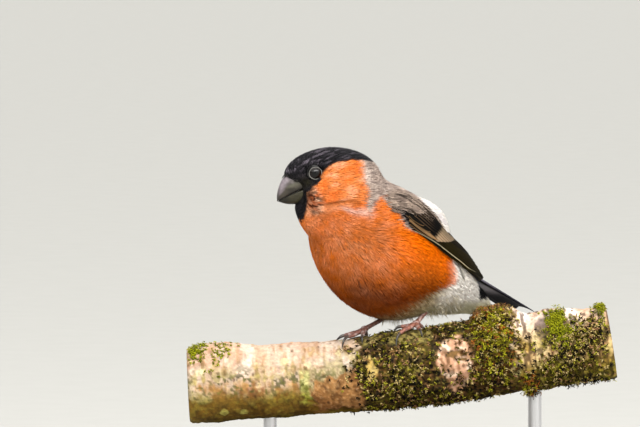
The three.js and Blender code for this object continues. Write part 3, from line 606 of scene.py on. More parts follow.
    # grey nape and mantle, white rump, black upper tail coverts
    gh = ramp(np.interp(hz, [-11.6, -7.8, -3.1, 0.7, 3], [-10.2, -10.9, -10.6, -11.8, -12.4]) - hx + 0.7 * soft, -1.3, 1.3)
    side = x + 4.5 * (1 - np.tanh(y / 6))
    gb = ramp(z - np.interp(side, [-60, -45, -25, 0, 8, 9.6, 10.1, 11.2, 13.8, 15.4, 16.2, 17.6, 18.6, 20.2, 21.4, 22.4, 23.2], [-22, -14, -6, 4, 6.5, 8.5, 10.6, 12.9, 14.8, 17.0, 19.0, 18.2, 17.0, 15.3, 12.8, 14, 60]) + 0.6 * soft, -0.8, 0.8)
    grey = gh * near_head + gb * (1 - near_head)
    tone = mix(GREY, srgb(204, 186, 174), np.clip(0.5 + 0.9 * soft, 0, 1))
    tone = mix(tone, srgb(92, 78, 76), 0.6 * ramp(noise(p * [0.6, 1, 1.5], 1.3, 21), 0.1, 0.6))
    tone = mix(tone, srgb(232, 212, 200), 0.75 * ramp(hx, -14.5, -12.5) * ramp(hz, -6, -1))
    c = mix(c, tone, grey)
    rump = grey * ramp(back + 0.5 * soft, 22.7, 24.5)
    c = mix(c, mix(WHITE, srgb(225, 218, 220), np.clip(0.4 + soft, 0, 1)), rump)
    dark = grey * ramp(back + 0.8 * soft, 47, 50) * ramp(above, -19, -17)

    # black: cap with lores and the ring round the bill, and the bib
    cap = ramp(hz - np.interp(hx, CAP_X, CAP_Z) + 0.30 * fine, -0.4, 0.4) * ramp(hx, -24, -21)
    cap = np.maximum(cap, ramp(hx, 13.6, 14.4) * ramp(hz, -5.5, -4.5) * ramp(hy, 8.5, 7.0))
    # the bib ends below in hanging points
    hang = hz + 1.1 * rough * np.clip(2.0 * noise(h * [1.4, 1.4, 0.3], 1.2, 37), -1, 1)
    half = np.interp(hang, [-11.6, -11.0, -10.2, -8, -5.5, -3.6, 0], [-1, 2.4, 4.6, 6.0, 7.0, 7.7, 8.0])
    bib = ramp(half - hy + 0.3 * soft, -0.35, 0.35) * ramp(hx, 8, 10)
    # mottled patch behind the bill: dark in front, then pale and dark specks
    zone = np.exp(-((((hx - 10.3) / 3.3) ** 2 + ((hz + 5.2) / 5.8) ** 2) ** 2))
    fleck = np.clip(2.2 * noise(h * [0.8, 1.0, 1.5], 1.0, 31), -1, 1)
    patchy_ = np.clip(2.2 * noise(h, 1.7, 33), -1, 1)
    c = mix(c, mix(srgb(170, 88, 52), srgb(232, 196, 166), 0.5 + 0.5 * patchy_), 0.8 * zone)
    c = mix(c, srgb(50, 26, 20), 0.9 * zone * ramp(fleck, 0.05, 0.5))
    dim = np.exp(-((((hx - 11.5) / 1.8) ** 2 + ((hz + 1.8) / 2.7) ** 2) ** 1.5))
    c = mix(c, mix(srgb(66, 30, 22), srgb(112, 74, 52), 0.5 + 0.5 * patchy_), 0.9 * dim)
    black = np.clip(np.maximum(np.maximum(cap, bib), dark), 0, 1)
    # painted sheen: grey-violet streaks on the black, strongest on the crown's top, and a painted green reflection on
    # the lores
    lore_green_reflection = np.exp(-(((hx - 11.0) / 3.4) ** 2 + ((hz - 2.4) / 2.6) ** 2))
    painted_gloss = np.clip(2.2 * noise(h * [0.45, 1.5, 1.5], 1.2, 35, 2), -1, 1)
    black_with_sheen = mix(BLACK, mix(srgb(84, 78, 86), srgb(48, 44, 20), np.clip(1.2 * lore_green_reflection, 0, 1)), ramp(painted_gloss, 0.1, 1.0) * (0.10 + 0.90 * ramp(hz, 4, 9)) + 0.4 * lore_green_reflection)
    c = mix(c, black_with_sheen, black)
    return c, black


# ---------------------------------------------------------------- the skin: one closed surface inside head, neck and trunk
SPINE = [np.array([-46, 0, -24.0]), np.array([-18, 0, -8.0]), from_head(np.array([0.5, 0, 0.5])) + [-24, 1.5, -15], from_head(np.array([0.5, 0, 0.5]))]
END_SHARE = 0.16


def rays(u, turn):
    """Start and direction of the ray at share u of the body, from the tail coverts to the crown, at a turn about it."""
    t = np.clip((u - END_SHARE) / (1 - 2 * END_SHARE), 0, 1)[..., None]
    a, b, c, d = SPINE
    at = (1 - t) ** 3 * a + 3 * (1 - t) ** 2 * t * b + 3 * (1 - t) * t * t * c + t**3 * d
    ahead = unit(3 * (1 - t) ** 2 * (b - a) + 6 * (1 - t) * t * (c - b) + 3 * t * t * (d - c))
    left = unit(np.cross(np.array([0, 0, 1.0]), ahead))
    up = np.cross(ahead, left)
    lean = np.where(u < END_SHARE, u / END_SHARE, np.where(u > 1 - END_SHARE, 1 + (u - 1 + END_SHARE) / END_SHARE, 1.0))[..., None] * np.pi / 2
    way = -np.cos(lean) * ahead + np.sin(lean) * (np.cos(turn)[..., None] * left + np.sin(turn)[..., None] * up)
    return at, way


def inset(p):
    return feathered(p) + coat_depth(p)


NU, NV = 250, 216
U, V = np.meshgrid(np.arange(1, NU) / NU, (np.arange(NV) + 0.5) / NV, indexing="ij")
at, way = rays(U, V * 2 * np.pi)
SKIN = at + way * reach(at, way, 0.0, inset)[..., None]
poles = []
for u in (0.0, 1.0):
    a, w = rays(np.array([u]), np.array([0.0]))
    poles.append((a + w * reach(a, w, 0.0, inset)[:, None])[0])

# the eyes' middles, set back from the outline as the solids have them
EYES = {}
for name, side in (("left", 1), ("right", -1)):
    o = from_head(np.array([EYE_AT[0] + 0.85, 0, EYE_AT[1] + 0.6]))
    w = RH @ np.array([0, side, 0.0])
    EYES[name] = (o + w * (reach(o[None], w[None])[0] - EYE_R + EYE_PROUD), w)


def clear_eyes(p):
    """Points near an eye go under the eyeball."""
    for c, w in EYES.values():
        q = p - c
        out = q @ w
        off = np.linalg.norm(q - out[..., None] * w, axis=-1)
        near = (off < 2.75) & (out > 0)
        p = np.where(near[..., None], c + unit(q) * (EYE_R - 0.25 - 0.3 * ramp(off, 2.75, 2.2))[..., None], p)
    return p


skin_verts = np.concatenate([clear_eyes(SKIN.reshape(-1, 3)), poles])
skin_faces = outward(skin_verts, tube_faces(NU - 1, NV))
skin_colour, skin_black = markings(skin_verts)
skin_colour = skin_colour * np.where(skin_black > 0.5, 0.9, 0.62 + 0.33 * ramp(skin_colour[:, 2], 0.3, 0.6))[:, None]
# unwrap: round the body and along it, with the seam below the body's right side
uv_points = np.concatenate([np.stack([V.ravel(), U.ravel()], -1), [[0.5, 0.0], [0.5, 1.0]]])
quad, tri = skin_faces
uq, ut = uv_points[quad].copy(), uv_points[tri].copy()
wrap = np.ptp(uq[..., 0], axis=1) > 0.5
uq[..., 0] = np.where(wrap[:, None] & (uq[..., 0] < 0.5), uq[..., 0] + 1, uq[..., 0])
pole = tri >= (NU - 1) * NV
side_u = np.where(pole, 0, ut[..., 0]).sum(1) / 2
wide = np.abs(np.where(pole, 0, ut[..., 0]).max(1) - np.where(pole, 1, ut[..., 0]).min(1)) > 0.5
ut[..., 0] = np.where(wide[:, None] & ~pole & (ut[..., 0] < 0.5), ut[..., 0] + 1, ut[..., 0])
side_u = np.where(pole, 0, ut[..., 0]).sum(1) / 2
ut[..., 0] = np.where(pole, side_u[:, None], ut[..., 0])
skin_uv = np.concatenate([uq.reshape(-1, 2), ut.reshape(-1, 2)]) * [1 / (1 + 1 / NV), 1]
make("skin", skin_verts, skin_faces, M_SKIN, skin_colour, uv=skin_uv, replaces=("head", "neck", "trunk"), into_part=True)


# ---------------------------------------------------------------- coat: feathers of fine barbs
def flow(p, n):
    """The way that the feathers lie at p: back from the bill over head and neck, then towards the tail,
    almost level on the shoulders, and round the eyes."""
    r = p - BILL_ROOT
    w = 1 - ramp(np.linalg.norm(r, axis=-1), 15, 38)
    pitch = np.radians(34 - 30 * ramp(p[..., 2], -5, 8) * ramp(p[..., 0], -2, 10))
    tailward = np.stack([-np.cos(pitch), 0 * pitch, -np.sin(pitch)], -1)
    v = w[..., None] * unit(r) + (1 - w)[..., None] * tailward
    v = v - (v * n).sum(-1, keepdims=True) * n
    for c, way in EYES.values():
        q = p - c
        q = q - (q @ way)[..., None] * way
        off = np.linalg.norm(q, axis=-1)
        out = unit(q)
        inward = np.minimum((v * out).sum(-1), 0) * ramp(off, 5.2, 3.2) * (off < 5.2)
        v = v - (inward * ramp((p - c) @ way, 0, 1))[..., None] * out
    return unit(v)


def value_and_normal(f, p, e=0.06):
    v = f(p)
    g = np.stack([f(p + np.eye(3)[i] * e) - v for i in range(3)], -1)
    return v, unit(g)


def scattered(points, spacing, rng):
    """Indices of points, in random order, that keep their spacing from each other."""
    order = rng.permutation(len(points))
    cell = float(spacing.max())
    grid, kept = {}, []
    key = np.floor(points / cell).astype(int)
    pts = points.tolist()
    gaps = (spacing**2).tolist()
    keys = key.tolist()
    for i in order:
        kx, ky, kz = keys[i]
        x, y, z = pts[i]
        g = gaps[i]
        ok = True
        for a in (kx - 1, kx, kx + 1):
            for b in (ky - 1, ky, ky + 1):
                for c in (kz - 1, kz, kz + 1):
                    for j in grid.get((a, b, c), ()):
                        q = pts[j]
                        if (q[0] - x) ** 2 + (q[1] - y) ** 2 + (q[2] - z) ** 2 < g:
                            ok = False
                            break
                    if not ok:
                        break
                if not ok:
                    break
            if not ok:
                break
        if ok:
            grid.setdefault((kx, ky, kz), []).append(i)
            kept.append(i)
    return np.array(kept)


PROFILE = {4: [0.55, 1.0, 0.78], 5: [0.5, 0.95, 1.0, 0.7], 3: [0.7, 1.0]}


def blades(paths, normals, half, ridge=0.3, profile=None):
    """Closed blades along paths (N, K, 3). Each has three-cornered rings and a point; the ridge is on top."""
    n, k = paths.shape[:2]
    t = unit(np.gradient(paths, axis=1))
    side = unit(np.cross(normals, t))
    w = np.asarray(PROFILE[k] if profile is None else profile)[None, :, None] * half[:, None, None]
    body = slice(0, k - 1)
    left, right = paths[:, body] - side[:, body] * w, paths[:, body] + side[:, body] * w
    top = paths[:, body] + normals[:, body] * w * ridge * 2
    ring = np.stack([left, right, top], 2)  # N, K-1, 3, 3
    verts = np.concatenate([ring.reshape(n, -1, 3), paths[:, -1:]], 1)
    per = verts.shape[1]
    quads = []
    for i in range(k - 2):
        for j in range(3):
            a, b = i * 3 + j, i * 3 + (j + 1) % 3
            quads.append([a, b, b + 3, a + 3])
    o = (k - 2) * 3
    tris = [[2, 1, 0]] + [[o + j, o + (j + 1) % 3, per - 1] for j in range(3)]
    base = (np.arange(n) * per)[:, None, None]
    faces = [(base + np.array(quads)).reshape(-1, 4), (base + np.array(tris)).reshape(-1, 3)]
    return verts.reshape(-1, 3), outward(verts.reshape(-1, 3), faces), per


class Coat:
    """Collects barbs, and makes them into one piece for each group."""

    def __init__(self):
        self.verts, self.colours, self.uv, self.black, self.k, self.where = [], [], [], [], [], []

    def add(self, paths, normals, half, root_colour, tip_colour, uv, black, where, ridge=0.3, turn=1.45):
        n, k = paths.shape[:2]
        verts, faces, per = blades(paths, normals, half, ridge)
        share = np.concatenate([np.repeat(np.linspace(0, 1, k)[:-1], 3), [1.0]])
        rise = ramp(share, 0.05, 0.75)
        colours = root_colour[:, None] + (tip_colour - root_colour)[:, None] * rise[None, :, None]
        local = np.concatenate([np.tile([[-0.0013, 0], [0.0013, 0], [0, 0.0002]], (k - 1, 1)), [[0, 0]]])
        local[:, 1] += (share - 0.5) * 0.0028
        spots = uv[:, None] + local[None]
        self.verts.append(verts.reshape(n, per, 3))
        self.colours.append(colours)
        self.uv.append(spots)
        self.black.append(np.asarray(black))
        self.k.append(np.full(n, k))
        self.where.append(np.asarray(where))

    def pieces(self, names, rule):
        """names by group; rule(where, black) gives each barb's group."""
        groups = {}
        for verts, colours, uv, black, k, where in zip(self.verts, self.colours, self.uv, self.black, self.k, self.where):
            g = rule(where, black)
            for key in np.unique(g):
                m = g == key
                groups.setdefault((key, int(k[0])), []).append((verts[m], colours[m], uv[m]))
        out = {}
        for (key, k), found in groups.items():
            out.setdefault(key, []).append((k, *[np.concatenate(x) for x in zip(*found)]))
        for key, sets in sorted(out.items()):
            V_, C_, T_, Q, R, at_, count = [], [], [], [], [], 0, 0
            for k, verts, colours, uv in sets:
                n, per = verts.shape[:2]
                quads = [[i * 3 + j, i * 3 + (j + 1) % 3, i * 3 + (j + 1) % 3 + 3, i * 3 + j + 3] for i in range(k - 2) for j in range(3)]
                o = (k - 2) * 3
                tris = [[2, 1, 0]] + [[o + j, o + (j + 1) % 3, per - 1] for j in range(3)]
                base = (np.arange(n) * per)[:, None, None] + at_
                q, t = (base + np.array(quads)).reshape(-1, 4), (base + np.array(tris)).reshape(-1, 3)
                V_.append(verts.reshape(-1, 3))
                C_.append(colours.reshape(-1, 3))
                T_.append(uv.reshape(-1, 2))
                Q.append(q)
                R.append(t)
                at_ += n * per
                count += len(q) * 2 + len(t)
            verts = np.concatenate(V_)
            faces = outward(verts, [np.concatenate(Q), np.concatenate(R)])
            name, mat, slot = names[key]
            print("COAT", name, count)
            make(name, verts, faces, mat, np.concatenate(C_), uv=np.concatenate(T_) * [0.99, 0.99] + 0.005, into_part=True)


def beside_eyes(p):
    """Points over an eye's rim go to its side."""
    for c, way in EYES.values():
        q = p - c
        out = q @ way
        flat = q - out[:, None] * way
        off = np.linalg.norm(flat, axis=-1)
        push = np.where((off < 2.8) & (out > 0), 2.8 - off, 0.0)
        p = p + unit(flat) * push[:, None]
    return p


def grow(coat, roots, uv, rng, field, depth, length, spread, barbs, half, where, k=4, lift=0.0, fan=0.35, stray=0.08, colour=None, shade=0.80, lay=flow, tint=0.07, lengths=(0.8, 1.12), loose=0.06, ridge=0.3):
    """Feathers at roots, each of some barbs that fan out from it and lie along the flow, with their tips at the coat's surface.
    depth, length, spread and half are arrays, one value for each feather."""
    n = len(roots)
    if n == 0:
        return
    m = barbs
    v, nrm = value_and_normal(field, roots)
    d0 = lay(roots, nrm)
    s0 = np.cross(nrm, d0)
    a = np.linspace(-1, 1, m)[None] + rng.uniform(-0.6, 0.6, (n, m)) / m
    start = roots[:, None] + s0[:, None] * (a * (spread * 0.5)[:, None])[..., None] + d0[:, None] * (rng.uniform(-0.12, 0.12, (n, m)) * length[:, None])[..., None]
    long = length[:, None] * (1 - 0.30 * np.abs(a) ** 2.4) * rng.uniform(*lengths, (n, m))
    turn = np.arcsin(np.clip(a * fan, -0.9, 0.9)) + rng.normal(0, stray, (n, m)) + rng.normal(0, stray * 0.7, (n, 1))
    bow = rng.normal(0, 0.10, (n, m))
    p = start.reshape(-1, 3)
    long, turn, bow = long.ravel(), turn.ravel(), bow.ravel()
    dep = np.repeat(depth, m)
    tip_level = (lift + rng.normal(0, loose, n * m)) * np.minimum(dep, 1.6)
    pts, nrms = [], []
    for i in range(k):
        s = i / (k - 1)
        if i:
            d = lay(p, nn)
            across = np.cross(nn, d)
            ang = turn * (1 - 0.55 * s) + bow * s
            d = d * np.cos(ang)[:, None] + across * np.sin(ang)[:, None]
            p = p + d * (long / (k - 1))[:, None]
        level = -(dep + 0.2) + (dep + 0.2 + tip_level) * s**0.6
        v, nn = value_and_normal(field, p)
        p = p + nn * (level - v)[:, None]
        v = field(p)
        p = p + nn * (level - v)[:, None]
        p = beside_eyes(p)
        pts.append(p)
        nrms.append(nn)
    paths, normals = np.stack(pts, 1), np.stack(nrms, 1)
    roll = rng.normal(0, 0.14, n * m)
    t = unit(np.gradient(paths, axis=1))
    side = np.cross(normals, t)
    normals = unit(normals * np.cos(roll)[:, None, None] + side * np.sin(roll)[:, None, None])
    tip, black = colour(paths[:, int(k * 0.6)])
    own = 1 + rng.normal(0, 1, (n, 1)).repeat(m, 1).ravel() * np.where(black > 0.5, 0.34, tint * ramp(tip[:, 2], 0.8, 0.4)) + rng.normal(0, 0.05, n * m)
    tip = tip * np.clip(own, 0.4, 1.9)[:, None]
    root = tip * np.where(black > 0.5, 0.75, shade + (0.97 - shade) * ramp(tip[:, 2], 0.35, 0.7))[:, None]
    coat.add(paths, normals, np.repeat(half, m) * rng.uniform(0.8, 1.2, n * m), root, tip, np.repeat(uv, m, 0), black, np.repeat(where, m), ridge=ridge)


# candidate roots over the skin, by area
P00, P10 = SKIN[:-1], SKIN[1:]
P01, P11 = np.roll(P00, -1, 1), np.roll(P10, -1, 1)
area = 0.5 * np.linalg.norm(np.cross(P11 - P00, P10 - P01), axis=-1)
weight = (area / area.sum()).ravel()


def candidates(n, rng):
    pick = rng.choice(len(weight), n, p=weight)
    i, j = pick // NV, pick % NV
    a, b = rng.random(n)[:, None], rng.random(n)[:, None]
    p = (P00[i, j] * (1 - a) + P10[i, j] * a) * (1 - b) + (P01[i, j] * (1 - a) + P11[i, j] * a) * b
    u = (i + 1 + a[:, 0]) / NU
    v = ((j + 0.5 + b[:, 0]) / NV) % 1.0
    return p, np.stack([v, u], -1)


def under_wing(p):
    """How far inside the folded wing's edges a point lies: above 0 inside, in millimetres."""
    s = ((p - WING_FROM) @ WING_BACK - WING_START) / (WING_TIP - WING_START)
    flat = p - WING_FROM - ((p - WING_FROM) @ WING_BACK)[..., None] * WING_BACK
    rad = np.linalg.norm(flat, axis=-1)
    turn = np.degrees(np.arctan2(flat @ WING_UP, np.abs(p[..., 1])))
    low, high = smooth_table(WING_LOW, s), smooth_table(WING_HIGH, s)
    inside = np.minimum(turn - low, high - turn) * np.pi / 180 * rad
    inside = np.minimum(inside, np.minimum(s, 1 - s) * (WING_TIP - WING_START))
    return inside


COAT = Coat()
rng = np.random.default_rng(77)
cand, cand_uv = candidates(110000, rng)
far = np.linalg.norm(cand - BILL_ROOT, axis=-1)
h = to_head(cand)
gap_f = np.interp(far, [4, 8, 14, 20, 28, 40, 60], [0.55, 0.72, 0.95, 1.15, 1.42, 1.75, 1.95])
keep = under_wing(cand) < 3.2
# bare: round the eyes, inside the bill, at the sockets of the legs
for c, w in EYES.values():
    q = cand - c
    off = np.linalg.norm(q - (q @ w)[:, None] * w, axis=-1)
    keep &= ~((off < 2.62) & (q @ w > 0))
bill_in = (h[:, 0] > 10.2) & (np.abs(h[:, 1]) < 4.6) & (h[:, 2] < 6.4) & (h[:, 2] > -4.6)
keep &= ~bill_in
cand, cand_uv, gap_f, far = cand[keep], cand_uv[keep], gap_f[keep], far[keep]
chosen = scattered(cand, gap_f, rng)
roots, roots_uv, far, gap_f = cand[chosen], cand_uv[chosen], far[chosen], gap_f[chosen]
print("FEATHERS", len(roots))
depth = coat_depth(roots)
vent = ramp(-roots[:, 0], 14, 30)
length = np.interp(far, [4, 8, 14, 20, 28, 40, 60], [1.2, 1.8, 3.0, 4.2, 5.6, 7.2, 7.8]) * (1 + 0.25 * vent)
# the body's pieces: even shares from the breast to the vent, for each side
body = far >= 14
cuts = np.quantile(roots[body, 0], [0.2, 0.4, 0.6, 0.8])
region = 20 + 2 * np.searchsorted(cuts, roots[:, 0]) + (roots[:, 1] <= 0)
region = np.where(far < 14, np.where(to_head(roots)[:, 1] > 0, 3, 4), region)
hind = roots[:, 0] < -15
for lo, hi, rear, barbs, k, half_k, ridge in ((0, 14, 0, 8, 4, 0.82, 0.3), (14, 24, 0, 13, 4, 0.80, 0.3), (24, 200, 0, 18, 5, 0.78, 0.26), (24, 200, 1, 18, 5, 1.05, 0.10)):
    m = (far >= lo) & (far < hi) & (hind == bool(rear))
    spread = gap_f[m] * 1.8
    grow(COAT, roots[m], roots_uv[m], rng, feathered, depth[m], length[m], spread, barbs, spread / barbs * half_k, region[m], k=k, colour=markings, loose=0.03 if rear else 0.06, ridge=ridge)


def coat_group(where, black):
    return np.where(black > 0.5, np.where(where < 20, 10, 11), where)


def wisps(coat, roots, uv, rng, ways, long, half, colours, where, barbs=9, cone=0.28, curl=0.35, k=6):
    """Loose tufts that stand off the body: each way is where its tuft points, and the barbs droop a little."""
    n, m = len(roots), barbs
    p = roots[:, None] + rng.normal(0, 0.28, (n, m, 3))
    d = unit(ways[:, None] + rng.normal(0, cone, (n, m, 3)))
    bend = rng.normal(0, curl, (n, m, 3)) * 0.5 + np.array([-0.15, 0, -0.35]) * curl
    reach_ = long[:, None] * rng.uniform(0.7, 1.15, (n, m))
    p, d, bend, reach_ = p.reshape(-1, 3), d.reshape(-1, 3), bend.reshape(-1, 3), reach_.ravel()
    pts = [p]
    for i in range(1, k):
        d = unit(d + bend / (k - 1))
        p = p + d * (reach_ / (k - 1))[:, None]
        pts.append(p)
    paths = np.stack(pts, 1)
    t = unit(np.gradient(paths, axis=1))
    _, nrm = value_and_normal(outline, roots)
    nn = np.repeat(nrm, m, 0)[:, None] + 0 * t
    nn = unit(nn - (nn * t).sum(-1, keepdims=True) * t + 1e-6)
    tip = np.repeat(colours, m, 0) * rng.uniform(0.8, 1.15, (n * m, 1))
    coat.add(paths, nn, np.repeat(half, m) * rng.uniform(0.8, 1.2, n * m), tip * 0.8, tip, np.repeat(uv, m, 0), np.zeros(n * m), np.repeat(where, m))


PROFILE[6] = [0.5, 0.95, 1.0, 0.8, 0.45]
# thigh feathers round the top of each shank, and the fluffy edge of belly and vent
WISP = Coat()
rng = np.random.default_rng(1234)
cand, cand_uv = candidates(30000, rng)
for name, (heel, foot) in {"left": ((15.6, 8.3, 71.6), (6.2, -1.5, 61.2)), "right": ((-2.0, 9.6, 64.6), (-13.6, -0.5, 59.0))}.items():
    top, low = to_bird(np.array([heel, foot], float))
    down = unit(low - top)
    socket = top + down * 1.0
    off = np.linalg.norm(cand - (socket + np.array([0.5, 0, 0])), axis=-1)
    near = np.flatnonzero((off < 9.5) & (off > 1.2) & (cand[:, 2] < socket[2] + 7))
    pick = near[scattered(cand[near], np.full(len(near), 1.15), rng)]
    r = cand[pick]
    v, nn = value_and_normal(outline, r)
    flat = flow(r, nn)
    close = ramp(np.linalg.norm(r - socket, axis=1), 8, 2)
    ways = unit(flat * (1.1 - 0.6 * close)[:, None] + down * (0.35 + 0.75 * close)[:, None] + nn * 0.30)
    c, _ = markings(r)
    hue = mix(srgb(206, 190, 150), srgb(140, 116, 72), rng.random(len(r)))
    hue = mix(hue, srgb(240, 234, 220), (rng.random(len(r)) > 0.6) * 0.8)
    c = mix(c, hue, ramp(-r[:, 0], -3, 8) * 0.8)
    wisps(WISP, r, cand_uv[pick], rng, ways, rng.uniform(3.2, 5.6, len(r)), np.full(len(r), 0.085), c, np.full(len(r), 30 if name == "left" else 31))
v_all, n_all = value_and_normal(outline, cand)
edge = ((n_all[:, 2] < -0.62) & (cand[:, 0] < -6) & (cand[:, 0] > -44)) | ((cand[:, 0] < -43) & (n_all[:, 2] < 0.3))
near = np.flatnonzero(edge)
pick = near[scattered(cand[near], np.full(len(near), 1.9), rng)]
r, nn = cand[pick], n_all[pick]
ways = unit(flow(r, nn) + nn * 0.22)
c, _ = markings(r)
c = mix(c, mix(srgb(206, 194, 150), srgb(246, 242, 232), rng.random(len(r))), 0.25 + 0.25 * ramp(-r[:, 0], 8, 20))
wisps(WISP, r, cand_uv[pick], rng, ways, rng.uniform(3.6, 6.2, len(r)), np.full(len(r), 0.07), c, np.full(len(r), 32), cone=0.16)
# dark strands laid along the painted shadow line between flank and vent, standing for shade, and loose tufts down the
# nape
for side in (1, -1):
    n = 110
    line = resampled(np.array(WING_EDGE_SHADOW) * [1, side, 1], 6)
    off_ = rng.uniform(-1, 1, n)
    share = np.linspace(0, 1, 6)
    p = line[None] + unit(np.array([1.0, 0, -0.45]))[None, None] * (off_[:, None] * (1.5 - 1.38 * share))[..., None] + rng.normal(0, 0.10, (n, 1, 3))
    p = p + (line[-1] - line[0]) * (rng.uniform(-0.12, 0.12, n)[:, None, None])
    for _ in range(2):
        v, nn = value_and_normal(feathered, p)
        p = p + nn * (rng.uniform(0.05, 0.30, (n, 1)) * (0.3 + 0.7 * np.sin(share * 3)) - v)[..., None]
    tone = mix(srgb(72, 68, 60), srgb(124, 119, 108), rng.random(n))
    at_uv = cand_uv[np.argmin(np.linalg.norm(cand - line[2], axis=1))]
    WISP.add(p, nn, np.full(n, 0.085), tone * 0.85, mix(tone, srgb(205, 200, 190), 0.5), np.repeat(at_uv[None], n, 0), np.zeros(n), np.full(n, 32))
v_all, n_all = value_and_normal(outline, cand)
h_all = to_head(cand)
near = np.flatnonzero((h_all[:, 2] < 1) & (h_all[:, 2] > -16) & (h_all[:, 0] < -13.5) & (cand[:, 0] > 4) & (cand[:, 2] > 16))
pick = near[scattered(cand[near], np.full(len(near), 2.2), rng)]
r, nn = cand[pick], n_all[pick]
ways = unit(flow(r, nn) + nn * 0.30)
c, _ = markings(r)
wisps(WISP, r, cand_uv[pick], rng, ways, rng.uniform(3.0, 4.6, len(r)), np.full(len(r), 0.075), c, np.full(len(r), 33), cone=0.16)
WISP.pieces({33: ("coat_nape_tufts", M_COAT, "wing_plumage"), 30: ("coat_thigh_left", M_COAT, "orange_plumage"), 31: ("coat_thigh_right", M_COAT, "orange_plumage"), 32: ("coat_vent_edge", M_COAT, "orange_plumage")}, lambda where, black: where)


coat_names = {3: ("coat_head_left", M_COAT, "orange_plumage"), 4: ("coat_head_right", M_COAT, "orange_plumage"), 10: ("coat_black_head", M_BLACK, "black_plumage"), 11: ("coat_black_body", M_BLACK, "black_plumage")}
for i, place in enumerate(("vent", "belly", "flank", "breast", "throat")):
    for j, side in enumerate(("left", "right")):
        coat_names[20 + 2 * i + j] = (f"coat_{place}_{side}", M_COAT, "orange_plumage")
COAT.pieces(coat_names, coat_group)


# ---------------------------------------------------------------- wings: flight feathers and greater coverts as vanes
def wing_place(p):
    """Share of the wing's length, and share across from its lower to its upper edge, of points in the bird's frame."""
    along_ = (p - WING_FROM) @ WING_BACK
    s = (along_ - WING_START) / (WING_TIP - WING_START)
    flat = p - WING_FROM - along_[..., None] * WING_BACK
    turn = np.degrees(np.arctan2(flat @ WING_UP, np.abs(p[..., 1])))
    low, high = smooth_table(WING_LOW, s), smooth_table(WING_HIGH, s)
    return s, (turn - low) / (high - low)


def wing_face(s, w):
    """Height of the wing's outer face above the body's outline."""
    q = 1 - 0.75 * np.minimum(np.abs(2 * w - 1), 1.0) ** 3.5
    return smooth_table(WING_RISE, s) * q - (1 - q) * smooth_table(WING_SINK, s) * 0.3


def wing_width(s):
    return np.interp(s, np.linspace(0, 1, 11), [3.4, 13.8, 17.5, 16.4, 13.1, 11.7, 13.2, 14.7, 14.4, 10.7, 3.0])


def pale_from(w):
    """Where along the wing the greater coverts turn pale."""
    return np.interp(w, [0.2, 0.26, 0.55, 0.82, 0.97], [0.355, 0.352, 0.388, 0.409, 0.412])


def vane(side, centre, low, high, shape, lift, tilt, colours, tag, n=26, m=9, thick=0.13, split=0.06):
    """A feather's closed vane on the folded wing. centre: (s, w) points from root to tip; low and high: widths in mm below
    and above the shaft; shape(t): width's share; lift and tilt: height over the wing's face and its fall per mm towards the back."""
    c = np.asarray(centre, float)
    pts = on_wing(side, c[:, 0], c[:, 1], wing_face(c[:, 0], np.clip(c[:, 1], 0, 1)))
    line = resampled(pts, n)
    v, nrm = value_and_normal(outline, line)
    t = unit(np.gradient(line, axis=0))
    across = unit(np.cross(nrm, t))
    across = across * np.sign((across @ WING_UP).sum())
    share = np.linspace(0, 1, n)
    a = np.concatenate([-np.linspace(1, 0, m // 2 + 1), np.linspace(0, 1, m - m // 2)[1:]])
    k = shape(share)[:, None]
    mm = np.where(a[None] < 0, a[None] * low, a[None] * high) * k
    ragged = 1 + split * noise(stacked(share[:, None] * 40 + tag * 31, np.sign(a)[None] * 9, 0.0), 1.0, 3)
    mm = mm * np.where(np.abs(a[None]) > 0.9, ragged, 1)
    # barbs slant towards the tip, so the edge is carried forward a little
    p = line[:, None] + across[:, None] * mm[..., None] + t[:, None] * (np.abs(mm) * 0.35 * (1 - share[:, None] ** 6))[..., None]
    ridge = 0.10 * np.exp(-((mm / 0.28) ** 2)) * (1 - share[:, None])
    top = []
    for level in (1, 0):
        q = p
        for _ in range(3):
            s, w = wing_place(q)
            want = wing_face(s, np.clip(w, 0, 1)) + lift - tilt * (mm + low * k) - (0 if level else thick) + (ridge if level else -ridge * 0.3)
            v, nn = value_and_normal(outline, q)
            q = q + nn * (want - v)[..., None]
        top.append(q)
    verts = np.concatenate([top[0].reshape(-1, 3), top[1].reshape(-1, 3)])
    faces = sheet_faces(n, m)
    s, w = wing_place(top[0])
    col = colours(np.broadcast_to(share[:, None], mm.shape), mm, s, w, k * low, k * high)
    col = np.concatenate([col.reshape(-1, 3), col.reshape(-1, 3) * 0.7])
    mark = stacked(share[:, None] * (np.linalg.norm(np.diff(line, axis=0), axis=1).sum() / 8), mm / 3.0, tag).reshape(-1, 3)
    return verts, outward(verts, faces), col, np.concatenate([mark, mark])


def sheet_faces(n, m):
    """Two layers of n x m points, joined round their rim."""
    i, j = np.meshgrid(np.arange(n - 1), np.arange(m - 1), indexing="ij")
    a = (i * m + j).ravel()
    top = np.stack([a, a + 1, a + m + 1, a + m], -1)
    o = n * m
    bottom = (top + o)[:, ::-1]
    rim = np.concatenate([np.arange(m), np.arange(1, n) * m + m - 1, (n - 1) * m + np.arange(m - 2, -1, -1), np.arange(n - 2, 0, -1) * m])
    nxt = np.roll(rim, -1)
    side_ = np.stack([nxt, rim, rim + o, nxt + o], -1)
    return [np.concatenate([top, bottom, side_])]


def rounded(start, tip, sharp=2.0):
    def shape(t):
        grow_ = start + (1 - start) * ramp(t, 0, 0.3)
        end = np.clip((t - tip) / (1 - tip), 0, 1)
        return np.maximum(grow_ * (1 - end**sharp) ** 0.55, 0.02)

    return shape


VANE_DARK = srgb(7, 6, 4)
VANE_GREEN_REFLECTION = srgb(22, 18, 2)
VANE_PALE = srgb(214, 202, 164)
BUFF = srgb(112, 86, 58)
BAR = srgb(121, 104, 84)


